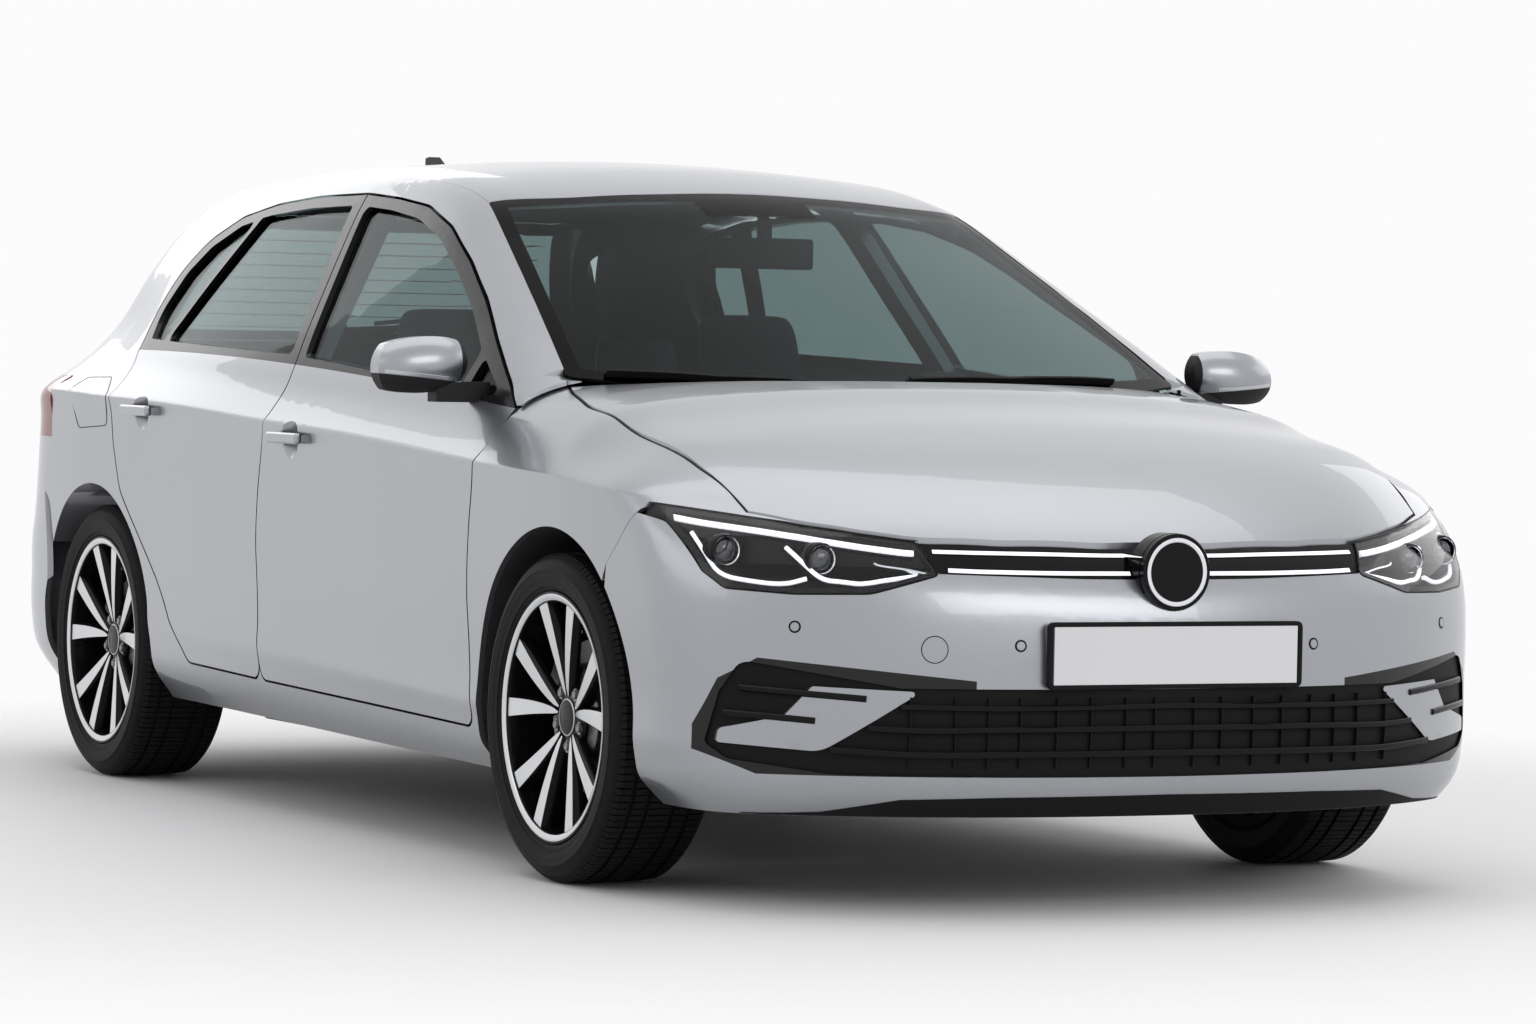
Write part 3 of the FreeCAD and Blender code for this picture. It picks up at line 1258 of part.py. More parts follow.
def makeTyre(corner):
    body = newBody("tyre_" + corner)
    outer = n.tyreDiameter / 2
    seat = n.rimSeat / 2
    half = n.tyreWidth / 2
    tread = half - n.skin * 1.6
    rise = outer - seat
    lip = n.rimDiameter / 2 + n.fitGap
    right = [(seat, half - n.skin * 2.15), (lip, half - n.skin * 1.45), (seat + rise * 0.52, half),
             (outer - rise * 0.20, half - n.skin * 0.45), (outer - n.skin / 3, tread)]
    left = [(x, -y) for x, y in reversed(right)]
    corners = right + left
    crown = n.tyreDiameter * 1.4
    low = (n.rimDiameter / 5, -1)
    side = (n.rimDiameter / 6, -1)
    shoulder = (n.skin * 2.6, -1)
    arcs = {1: low, 2: side, 3: shoulder, 4: (crown, -1), 5: shoulder, 6: side, 7: low}
    sketch = addSketch(body, "XY_Plane", corners, arcs)
    addRevolution(body, sketch)
    standWheel(body, corner)
    return keepNode(body)


def addPad(body, sketch, length, kind="PartDesign::Pad"):
    pad = body.newObject(kind, body.Name + kind.split("::")[1])
    pad.Profile = sketch
    bind(pad, "Length", length)
    pad.Midplane = True
    sketch.Visibility = False
    return pad


def addPattern(body, originals, sketch, count):
    pattern = body.newObject("PartDesign::PolarPattern", body.Name + "Round")
    pattern.Originals = originals
    pattern.Axis = (sketch, ["N_Axis"])
    pattern.Angle = 360
    pattern.Occurrences = count
    body.Tip = pattern
    return pattern


spokePairs = 5
slitAngles = (9.2, 7.6)
windowAngles = (17.6, 15.6)


def makeRim(corner):
    # barrel, dished face and hub turned in one, then the windows cut through in pairs
    body = newBody("rim_" + corner)
    seat = n.rimSeat / 2
    half = n.rimWidth / 2
    lip = n.rimDiameter / 2
    wall = n.skin * 0.75
    hub = n.boltCircle / 2 + n.boltBore * 0.8
    face = half - n.skin * 0.6
    dish = n.skin * 2.2
    back = n.wheelOffset + n.skin / 3
    profile = [(none, face - dish), (hub, face - dish), (seat - n.skin * 1.5, face),
               (lip - n.skin / 2, half + n.skin / 4),
               (lip, half + n.skin / 4), (lip, half - n.skin / 3), (seat, half - n.skin),
               (seat - n.skin / 2, n.wheelOffset * 0.4), (seat - n.skin / 2, -half + n.skin * 1.4),
               (seat, -half + n.skin), (lip - n.skin / 3, -half), (lip - n.skin, -half - n.skin / 4),
               (seat - wall - n.skin / 2, -half + n.skin),
               (seat - wall - n.skin, face - dish * 1.3), (hub, back), (none, back)]
    sketch = addSketch(body, "XY_Plane", profile)
    turned = addRevolution(body, sketch)
    reach = seat - n.skin * 2.4
    inner = hub + n.skin / 6
    for angles, middle in ((slitAngles, 0), (windowAngles, 180 / spokePairs)):
        corners = []
        for radius, angle in ((inner, angles[0] * -1), (reach, angles[1] * -1), (reach, angles[1]),
                              (inner, angles[0])):
            turn = math.radians(90 + middle + angle)
            corners.append((radius * math.cos(turn), radius * math.sin(turn)))
        outline = addSketch(body, "XZ_Plane", corners, {1: (reach, 1), 3: (inner, -1)})
        cut = addPad(body, outline, n.rimWidth * 2, "PartDesign::Pocket")
        addPattern(body, [cut], outline, spokePairs)
    disc = [(none, back - n.discWall), (n.discDiameter / 2, back - n.discWall), (n.discDiameter / 2, back),
            (none, back)]
    addRevolution(body, addSketch(body, "XY_Plane", disc))
    return body


def cylinderAlong(axis, radius, start, length):
    directions = {"x": FreeCAD.Vector(1, 0, 0), "y": FreeCAD.Vector(0, 1, 0), "z": FreeCAD.Vector(0, 0, 1)}
    return Part.makeCylinder(radius, length, start, directions[axis])


def vector(x, y, z):
    return FreeCAD.Vector(x, y, z)


def joined(shapes):
    whole = shapes[0].multiFuse(shapes[1:])
    return biggestSolid(whole.removeSplitter())


floorTop = d.floorHeight + d.floorWall
floorHalf = d.sillInner - d.fitGap * 2
platform = d.floorHeight + d.bootHeight * 0.34
kickPlace = placeOf(0.705)
bootPlace = placeOf(0.872)
tailWallPlace = placeOf(1.835)


def wheelhouse(axleX, inner, outer, low):
    # inner wall and arch over a wheel
    axis = vector(axleX, inner, wheelRadius)
    radius = d.archRadius + d.archWall
    disc = cylinderAlong("y", radius, axis, outer - inner)
    below = block(vector(axleX - radius, inner, 0), vector(axleX + radius, outer, wheelRadius))
    full = disc.fuse(below).common(block(vector(axleX - radius, inner, low),
                                         vector(axleX + radius, outer, d.roofHeight)))
    room = cylinderAlong("y", d.archRadius, axis + vector(0, d.archWall, 0), outer - inner)
    under = block(vector(axleX - d.archRadius, inner + d.archWall, 0),
                  vector(axleX + d.archRadius, outer, wheelRadius))
    return full.cut(room.fuse(under))


def makeFloor():
    wall = d.floorWall
    tunnel = d.tunnelWidth / 2
    front = d.firewallPlace
    pieces = [block(vector(kickPlace, -floorHalf, d.floorHeight), vector(front, floorHalf, floorTop)),
              block(vector(kickPlace - wall, -floorHalf, d.floorHeight),
                    vector(kickPlace, floorHalf, platform + wall)),
              block(vector(bootPlace, -floorHalf, platform), vector(kickPlace, floorHalf, platform + wall)),
              block(vector(bootPlace - wall, -floorHalf, platform),
                    vector(bootPlace, floorHalf, d.bootHeight + wall)),
              block(vector(tailWallPlace, -floorHalf * 0.82, d.bootHeight),
                    vector(bootPlace, floorHalf * 0.82, d.bootHeight + wall)),
              block(vector(tailWallPlace, -floorHalf * 0.82, d.bootHeight * 0.72),
                    vector(tailWallPlace + wall, floorHalf * 0.82, d.roofHeight * 0.425)),
              block(vector(front, -floorHalf, d.floorHeight),
                    vector(front + d.firewallWall, floorHalf, d.roofHeight * 0.605)),
              block(vector(kickPlace, -tunnel, floorTop), vector(front, tunnel, floorTop + d.tunnelHeight))]
    railLow = d.roofHeight * 0.24
    railHigh = d.roofHeight * 0.33
    railInner = d.seatPlace + d.trimWidth
    railOuter = d.frontHouseInner
    tip = placeOf(-0.80)
    for side in (1, -1):
        low, high = sorted((side * railInner, side * railOuter))
        pieces.append(block(vector(front, low, railLow), vector(tip, high, railHigh)))
    pieces.append(block(vector(tip, -railOuter * 1.1, railLow),
                        vector(tip + d.railDepth / 2, railOuter * 1.1, railHigh)))
    sill = 0.47 * d.roofHeight
    gateFace = tailFace(0, sill) + d.tailgateDepth + d.fitGap * 4
    pieces.append(block(vector(tailWallPlace, -d.tunnelWidth / 2, d.roofHeight * 0.40),
                        vector(tailWallPlace + wall, d.tunnelWidth / 2, sill + d.skin)))
    pieces.append(block(vector(gateFace, -d.trimWidth, sill - d.skin / 3),
                        vector(tailWallPlace, d.trimWidth, sill + d.skin / 3)))
    floor = joined(pieces)
    houses = []
    rearHouse = wheelhouse(rearAxle, d.rearHouseInner, floorHalf, d.bootHeight)
    frontHouse = wheelhouse(frontAxle, d.frontHouseInner, halfWidth, d.roofHeight * 0.20)
    frontHouse = frontHouse.cut(makeFenderWall(d.overrun * 2, d.skin + d.fitGap))
    ahead = block(vector(placeOf(-0.25), 0.84 * halfWidth, 0), vector(halfLength, halfWidth, d.roofHeight))
    frontHouse = biggestSolid(frontHouse.cut(ahead))
    towerFoot = vector(frontAxle, d.sillInner * 0.80, wheelRadius + d.archRadius)
    tower = cylinderAlong("z", d.railDepth * 1.5, towerFoot, d.roofHeight * 0.075)
    for piece in (rearHouse, frontHouse, tower):
        houses += [piece, mirrored(piece)]
    floor = floor.cut(block(vector(kickPlace - wall * 2, -tunnel + wall, 0),
                            vector(front - wall, tunnel - wall, floorTop + d.tunnelHeight - wall)))
    for side in (1, -1):
        low, high = sorted((side * d.rearHouseInner, side * halfWidth))
        floor = floor.cut(cylinderAlong("y", d.archRadius, vector(rearAxle, low, wheelRadius), high - low))
        floor = floor.cut(block(vector(rearAxle - d.archRadius, low, 0),
                                vector(rearAxle + d.archRadius, high, wheelRadius)))
        inner = min(side * d.frontHouseInner, side * halfWidth)
        floor = floor.cut(cylinderAlong("y", d.archRadius, vector(frontAxle, inner, wheelRadius),
                                        halfWidth - d.frontHouseInner))
    return joined([biggestSolid(floor)] + houses)


def addSeat(name, y):
    # cushion, back and head restraint as one side profile, padded to the seat's width
    body = newBody(name)
    length = n.wheelbase
    height = n.roofHeight
    base = n.floorHeight + n.floorWall
    profile = [(length * 0.066, height * 0.250), (length * 0.070, height * 0.320),
               (-length * 0.100, height * 0.300), (-length * 0.152, height * 0.640),
               (-length * 0.160, height * 0.690), (-length * 0.170, height * 0.775),
               (-length * 0.196, height * 0.775), (-length * 0.200, height * 0.650),
               (-length * 0.150, height * 0.235), (-length * 0.120, height * 0.205),
               (-length * 0.120, base), (length * 0.030, base), (length * 0.030, height * 0.215)]
    sketch = addSketch(body, "XZ_Plane", profile)
    addPad(body, sketch, n.seatWidth)
    bind(body, "Placement.Base.y", y)
    return keepNode(body)


def addBench():
    body = newBody("rear_bench")
    length = n.wheelbase
    height = n.roofHeight
    base = n.floorHeight + n.bootHeight * 0.34 + n.floorWall
    profile = [(-length * 0.215, base), (-length * 0.205, height * 0.335), (-length * 0.345, height * 0.320),
               (-length * 0.385, height * 0.640), (-length * 0.392, height * 0.720),
               (-length * 0.420, height * 0.720), (-length * 0.428, height * 0.620),
               (-length * 0.372, base)]
    sketch = addSketch(body, "XZ_Plane", profile)
    addPad(body, sketch, n.seatWidth * 2.3)
    return keepNode(body)


def addDashboard():
    body = newBody("dashboard")
    place = n.firewallPlace
    height = n.roofHeight
    profile = [(place, height * 0.40), (place, height * 0.603), (place - n.railDepth * 1.5, height * 0.616),
               (place - n.railDepth * 5.0, height * 0.630), (place - n.railDepth * 6.6, height * 0.600),
               (place - n.railDepth * 6.4, height * 0.520), (place - n.railDepth * 4.6, height * 0.440),
               (place - n.railDepth * 3.2, height * 0.330)]
    sketch = addSketch(body, "XZ_Plane", profile)
    addPad(body, sketch, (n.sillInner - n.fitGap) * 2)
    return keepNode(body)


steeringCentre = vector(placeOf(0.318), d.seatPlace, 0.565 * d.roofHeight)
steeringAxis = vector(-math.cos(math.radians(d.steeringTilt)), 0, math.sin(math.radians(d.steeringTilt)))


def makeSteeringWheel():
    grip = d.steeringGrip / 2
    ring = Part.makeTorus(d.steeringDiameter / 2 - grip, grip, steeringCentre, steeringAxis)
    low = steeringCentre - steeringAxis * d.trimWidth
    boss = Part.makeCylinder(d.steeringDiameter * 0.20, d.trimWidth * 1.4, low, steeringAxis)
    pieces = [ring, boss]
    across = vector(0, 1, 0)
    upward = steeringAxis.cross(across) * -1
    for direction in (across, across * -1, upward * -1):
        along = steeringCentre + direction * d.steeringDiameter * 0.15
        spoke = Part.makeCylinder(grip * 0.75, d.steeringDiameter * 0.31, along, direction)
        pieces.append(spoke)
    return joined(pieces)


def makeColumn(dashboard):
    start = steeringCentre - steeringAxis * (d.trimWidth + d.fitGap * 0.75)
    tube = Part.makeCylinder(d.trimWidth * 1.3, d.railDepth * 4.4, start, steeringAxis * -1)
    return biggestSolid(tube.cut(dashboard))


mirrorSpanShare = 0.128
mirrorRiseShare = 0.046
mirrorBulgeShare = 0.075


def makeMirror(door):
    # housing of a door mirror, domed ahead and flat behind, on a foot that stands on the door
    centre = vector(placeOf(0.205), halfWidth * 1.052, 0.680 * d.roofHeight)
    back = centre.x - d.railDepth * 0.35
    grid = []
    for up in spread(-0.84, 0.84, 11):
        line = []
        for out in spread(-0.84, 0.84, 13):
            across = out * math.sqrt(1 - up ** 2 / 2)
            rise = up * math.sqrt(1 - out ** 2 / 2)
            bulge = math.sqrt(max(1.02 - across ** 2 - rise ** 2, 0.02))
            x = back + d.trimWidth * 0.2 + bulge * mirrorBulgeShare * halfWidth
            y = centre.y + across * mirrorSpanShare * halfWidth
            z = centre.z + (rise - 0.12 * across) * mirrorRiseShare * d.roofHeight
            line.append((vector(x, y, z), vector(1, 0, 0)))
        grid.append(line)
    housing = sheetFrom(grid, 0, lambda point, ray: point.x - back)
    low = vector(back, halfWidth * 0.89, centre.z - d.railDepth * 1.35)
    high = vector(centre.x + d.railDepth * 0.5, halfWidth * 1.02, centre.z - d.railDepth * 0.6)
    return biggestSolid(joined([housing, block(low, high)]).cut(door))


def makeAntenna(roof):
    foot = placeOf(1.015)
    height = cabinTop(foot, 0)
    corners = [(foot + d.railDepth * 1.4, height - d.skin),
               (foot - d.railDepth * 1.3, height + d.railDepth * 1.20),
               (foot - d.railDepth * 1.7, height + d.railDepth * 1.15),
               (foot - d.railDepth * 1.8, height - d.skin * 2)]
    outline = [(x, z, 0) for x, z in corners]
    return biggestSolid(sidePrism(anticlockwise(outline), -d.skin * 1.2, d.skin * 1.2).cut(roof))


def makeEngine():
    middle = placeOf(-0.13)
    low = vector(middle - d.railDepth * 4.4, -d.seatPlace * 0.92, d.roofHeight * 0.185)
    high = vector(middle + d.railDepth * 4.4, d.seatPlace * 0.92, d.roofHeight * 0.515)
    pieces = [block(low, high)]
    for side in (1, -1):
        near, far = sorted((side * d.seatPlace * 0.9, side * (d.seatPlace + d.trimWidth)))
        pieces.append(block(vector(middle - d.railDepth, near, d.roofHeight * 0.26),
                            vector(middle + d.railDepth, far, d.roofHeight * 0.31)))
    return joined(pieces)


def makeRadiator():
    place = placeOf(-0.70)
    wide = d.seatPlace + d.trimWidth
    pack = block(vector(place, -wide, d.roofHeight * 0.165),
                 vector(place + d.railDepth * 0.8, wide, d.roofHeight * 0.45))
    middle = place + d.railDepth * 0.4
    start = vector(middle + d.skin * 1.4, 0, 0.3 * d.roofHeight)
    rest = start.z + reachAt(noseField, start, vector(0, 0, 1)) - d.bonnetDepth - d.fitGap * 2
    latch = cylinderAlong("z", d.skin * 1.4, vector(middle, 0, d.roofHeight * 0.44),
                          rest - d.roofHeight * 0.44)
    return joined([pack, latch])


armHeight = 0.138 * d.roofHeight


def makeFrontSubframe():
    # cradle below the engine, lower arms and dampers
    back = frontAxle - d.railDepth * 4
    ahead = frontAxle + d.railDepth * 3
    wide = d.seatPlace
    pieces = [block(vector(back, -wide, armHeight), vector(ahead, wide, armHeight + d.railDepth * 0.7))]
    for side in (1, -1):
        near, far = sorted((side * wide * 0.9, side * (d.frontTrack / 2 - d.kingpinInset * 1.1)))
        pieces.append(block(vector(frontAxle - d.railDepth * 0.6, near, armHeight),
                            vector(frontAxle + d.railDepth * 0.6, far, armHeight + d.archWall * 3)))
        damper = vector(frontAxle, side * d.sillInner * 0.80, armHeight)
        pieces.append(cylinderAlong("z", d.trimWidth * 0.9, damper,
                                    wheelRadius + d.archRadius - armHeight - d.fitGap * 3))
        joint = vector(frontAxle, side * (d.frontTrack / 2 - d.kingpinInset * 1.1), armHeight)
        ballTop = wheelRadius - d.railDepth * 1.55 - d.fitGap * 0.75
        pieces.append(cylinderAlong("z", d.trimWidth * 0.6, joint, ballTop - armHeight))
        hanger = block(vector(back, side * (wide + d.trimWidth) - d.trimWidth, armHeight),
                       vector(back + d.railDepth, side * (wide + d.trimWidth) + d.trimWidth,
                              d.roofHeight * 0.24))
        pieces.append(hanger)
        pieces.append(block(vector(back, min(side * wide * 0.8, side * (wide + d.trimWidth * 2)), armHeight),
                            vector(back + d.railDepth,
                                   max(side * wide * 0.8,
                                       side * (wide + d.trimWidth * 2)), armHeight + d.railDepth * 0.7)))
    return joined(pieces)


def makeRearAxle():
    # cross beam, trailing arms, stub axles, springs and dampers
    beamX = rearAxle + d.railDepth * 4.5
    beamZ = wheelRadius * 0.86
    armY = d.rearHouseInner - d.trimWidth * 2.2
    pieces = [cylinderAlong("y", d.trimWidth * 1.4, vector(beamX, -armY, beamZ), armY * 2)]
    for side in (1, -1):
        low, high = sorted((side * (armY - d.trimWidth), side * (armY + d.trimWidth)))
        pieces.append(block(vector(rearAxle - d.railDepth, low, wheelRadius - d.railDepth * 0.7),
                            vector(beamX + d.railDepth * 0.4, high, wheelRadius)))
        hubFace = d.rearTrack / 2 + d.wheelOffset + d.skin / 3 - d.discWall - d.fitGap * 0.75
        near, far = sorted((side * armY, side * hubFace))
        pieces.append(cylinderAlong("y", d.trimWidth, vector(rearAxle, near, wheelRadius), far - near))
        pieces.append(cylinderAlong("z", d.trimWidth * 0.8,
                                    vector(rearAxle - d.railDepth * 0.4, side * armY,
                                           wheelRadius - d.railDepth * 0.5),
                                    d.bootHeight - wheelRadius + d.railDepth * 0.5))
        pieces.append(cylinderAlong("z", d.railDepth * 0.9,
                                    vector(rearAxle + d.railDepth * 2.0, side * armY * 0.97,
                                           wheelRadius - d.railDepth * 0.3),
                                    d.bootHeight - wheelRadius + d.railDepth * 0.3))
    return joined(pieces)


def makeExhaust():
    pipe = d.trimWidth
    height = d.roofHeight * 0.135
    tail = placeOf(1.60)
    pieces = [cylinderAlong("x", pipe, vector(tail, 0, height), placeOf(0.12) - tail)]
    low = vector(placeOf(1.74), -d.seatPlace * 1.1, height - d.railDepth * 0.7)
    high = vector(placeOf(1.42), d.seatPlace * 1.1, height + d.railDepth * 1.6)
    pieces.append(roundedBlock(low, high, d.trimWidth * 1.3))
    pieces.append(block(vector(tail - pipe, -pipe / 2, height + d.railDepth),
                        vector(tail, pipe / 2, d.bootHeight)))
    return joined(pieces)


def makeTank():
    low = vector(bootPlace + d.trimWidth, d.railDepth * 1.6, d.roofHeight * 0.135)
    high = vector(kickPlace - d.trimWidth * 2, d.seatPlace * 1.6, platform)
    solid = block(low, high)
    lowEdges = [edge for edge in solid.Edges if edge.CenterOfMass.z < platform - d.fitGap]
    return solid.makeFillet(d.trimWidth, lowEdges)


def addKnuckle(corner):
    # hub carrier and caliper; the kingpin runs through it
    x, y, z, side = wheelPlace(corner)
    body = newBody("knuckle_" + corner.split("_")[1])
    tall = n.railDepth * 1.55
    wide = n.railDepth * 0.7
    profile = [(wide, -tall), (wide, tall), (-wide, tall), (-wide, -tall)]
    sketch = addSketch(body, "XZ_Plane", profile)
    addPad(body, sketch, n.kingpinInset * 1.2)
    stub = n.railDepth * 0.45
    tip = n.kingpinInset * 1.1 + n.wheelOffset + n.skin / 3 - n.discWall - n.fitGap * 0.75
    ring = [(none, -n.kingpinInset * 0.6), (stub, -n.kingpinInset * 0.6), (stub, tip), (none, tip)]
    addRevolution(body, addSketch(body, "XY_Plane", [(x, y * side) for x, y in ring]))
    placeBody(body, x, y - n.kingpinInset * side * 1.1, z)
    return keepNode(body)


def makePlate(front):
    half = d.plateWidth / 2
    low = 0.2925 * d.roofHeight if front else 0.500 * d.roofHeight
    high = low + d.plateHeight
    if front:
        return block(vector(halfLength - d.trimWidth, -half, low),
                     vector(halfLength + d.plateWall / 4, half, high))
    skin = tailFace(0, (low + high) / 2)
    return block(vector(skin - d.plateWall, -half, low), vector(skin + d.trimWidth * 0.9, half, high))


def makeCowl(others):
    xs = spread(placeOf(0.16), placeOf(0.0), 12)
    ys = spread(-0.84 * halfWidth, 0.84 * halfWidth, 25)
    grid = upRays(noseField, xs, ys, 0.30 * d.roofHeight, notBowed)
    wall = sheetFrom(grid, -d.bonnetDepth - d.skin, d.bonnetDepth + d.skin + d.archWall)
    rear = [(placeOf(station) - d.skin, share * halfWidth * 0.98, radius * d.wheelbase)
            for station, share, radius in screenShares[6:]]
    ahead = [(x + d.railDepth * 1.5, y, radius) for x, y, radius in reversed(rear)]
    panel = wall.common(topPrism(anticlockwise(rear + ahead), d.roofHeight / 2, d.roofHeight))
    for other in others:
        panel = panel.cut(other)
    return biggestSolid(panel)


def makeInteriorMirror(screen):
    place = placeOf(0.345)
    roof = cabinTop(place, 0)
    glass = roundedBlock(vector(place - d.skin, -d.steeringDiameter * 0.33, roof - d.railDepth * 2.2),
                         vector(place + d.skin, d.steeringDiameter * 0.33, roof - d.railDepth), d.skin * 0.7)
    stalk = block(vector(place, -d.skin, roof - d.railDepth * 1.5), vector(place + d.skin * 2, d.skin, roof))
    return biggestSolid(joined([glass, stalk]).cut(screen))


def buildPanels():
    doors = makeDoors()
    sideFrame = makeSideFrame()
    addNode("side_frame_left", sideFrame)
    addNode("side_frame_right", mirrored(sideFrame))
    roof = makeRoof()
    addNode("roof_panel", roof)
    addNode("antenna_fin", makeAntenna(roof))
    screen = makeScreen()
    addNode("windscreen", screen)
    addNode("interior_mirror", makeInteriorMirror(screen))
    addNode("bonnet", makeBonnet())
    fender = makeFender()
    addNode("fender_left", fender)
    addNode("fender_right", mirrored(fender))
    cowl = makeCowl([screen, sideFrame, mirrored(sideFrame), fender, mirrored(fender)])
    addNode("cowl_panel", cowl)
    bumper, lampWall, grilleWall, blade = makeFrontBumper()
    addNode("bumper_blades", Part.makeCompound([blade, mirrored(blade)]))
    plate = makePlate(True)
    addNode("front_bumper", biggestSolid(bumper.cut(plate)))
    addNode("number_plate_front", plate)
    lamp = makeLamp(lampWall)
    addNode("headlamps", Part.makeCompound([lamp, mirrored(lamp)]))
    bar, mouth = makeGrilles(grilleWall)
    addNode("upper_grille", bar)
    addNode("lower_grille", mouth)
    addNode("rear_bumper", makeRearBumper())
    gate, gateGlass = makeTailgate()
    plate = makePlate(False)
    addNode("tailgate", biggestSolid(gate.cut(plate)))
    addNode("tailgate_glass", gateGlass)
    addNode("number_plate_rear", plate)
    tailLamp = makeTailLamps()
    addNode("tail_lamps", Part.makeCompound([tailLamp, mirrored(tailLamp)]))
    mirror = makeMirror(doors)
    addNode("door_mirror_left", mirror)
    addNode("door_mirror_right", mirrored(mirror))


def buildRest():
    addNode("floor_pan", makeFloor())
    addSeat("front_seat_left", n.seatPlace)
    addSeat("front_seat_right", -n.seatPlace)
    addBench()
    dashboard = addDashboard()
    doc.recompute()
    addNode("steering_wheel", makeSteeringWheel())
    addNode("steering_column", makeColumn(dashboard.Shape))
    addNode("engine_block", makeEngine())
    addNode("radiator", makeRadiator())
    addNode("front_subframe", makeFrontSubframe())
    addNode("rear_axle", makeRearAxle())
    addNode("exhaust", makeExhaust())
    addNode("fuel_tank", makeTank())
    addKnuckle("front_left")
    addKnuckle("front_right")
    for corner in ("front_left", "front_right", "rear_left", "rear_right"):
        makeTyre(corner)
        standWheel(keepNode(makeRim(corner)), corner)


def writeParts():
    doc.recompute()
    for thing in doc.Objects:
        if "Invalid" in thing.State or "Error" in thing.State:
            raise ValueError("object not computed: " + thing.Label)
    for thing in nodes:
        if thing.Shape.isNull() or not thing.Shape.isValid():
            raise ValueError("shape not valid: " + thing.Label)
    os.makedirs("parts", exist_ok=True)
    for thing in nodes:
        thing.Shape.exportStep("parts/" + thing.Label + ".step")


buildPanels()
buildRest()
writeParts()
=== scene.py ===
import json
import math

import bmesh
import bpy
from mathutils import Matrix, Vector
from mathutils.bvhtree import BVHTree
from mathutils.geometry import delaunay_2d_cdt

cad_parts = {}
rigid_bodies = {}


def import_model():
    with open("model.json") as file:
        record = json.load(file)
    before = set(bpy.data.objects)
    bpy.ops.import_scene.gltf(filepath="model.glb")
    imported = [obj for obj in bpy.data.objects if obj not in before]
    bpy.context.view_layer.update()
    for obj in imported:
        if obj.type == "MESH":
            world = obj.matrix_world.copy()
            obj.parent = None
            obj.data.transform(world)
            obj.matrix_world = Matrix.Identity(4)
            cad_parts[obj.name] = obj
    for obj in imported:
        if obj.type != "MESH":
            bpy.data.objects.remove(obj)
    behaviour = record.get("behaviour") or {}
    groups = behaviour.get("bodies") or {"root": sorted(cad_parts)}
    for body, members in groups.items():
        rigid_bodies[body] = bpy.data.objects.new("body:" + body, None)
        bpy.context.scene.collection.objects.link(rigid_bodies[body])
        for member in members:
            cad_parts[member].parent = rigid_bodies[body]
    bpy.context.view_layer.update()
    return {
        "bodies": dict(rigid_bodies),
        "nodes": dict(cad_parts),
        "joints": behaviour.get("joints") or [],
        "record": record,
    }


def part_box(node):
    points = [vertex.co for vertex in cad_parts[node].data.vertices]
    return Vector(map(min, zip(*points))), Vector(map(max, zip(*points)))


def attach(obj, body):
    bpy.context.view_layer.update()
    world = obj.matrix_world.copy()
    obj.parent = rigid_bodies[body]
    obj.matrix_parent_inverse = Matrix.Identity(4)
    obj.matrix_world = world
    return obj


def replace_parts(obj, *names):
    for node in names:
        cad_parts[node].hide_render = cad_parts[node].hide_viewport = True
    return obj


# Silver hatchback car in a pale studio: finishes, lamps, trims, tread, seats and cabin
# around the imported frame. Metres, X forward, Y to the car's left, Z up.

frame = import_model()
nodes = frame["nodes"]
scene = bpy.context.scene
sides = (("left", 1), ("right", -1))


class Value:
    # a socket of a material, written like a number
    def __init__(self, recipe, socket):
        self.recipe = recipe
        self.socket = socket

    def maths(self, operation, *values):
        return self.recipe.maths(operation, *values)

    def __add__(self, other):
        return self.maths("ADD", self, other)

    def __radd__(self, other):
        return self.maths("ADD", other, self)

    def __sub__(self, other):
        return self.maths("SUBTRACT", self, other)

    def __rsub__(self, other):
        return self.maths("SUBTRACT", other, self)

    def __mul__(self, other):
        return self.maths("MULTIPLY", self, other)

    def __abs__(self):
        return self.maths("ABSOLUTE", self)

    def above(self, edge):
        return self.maths("GREATER_THAN", self, edge)

    def below(self, edge):
        return self.maths("LESS_THAN", self, edge)


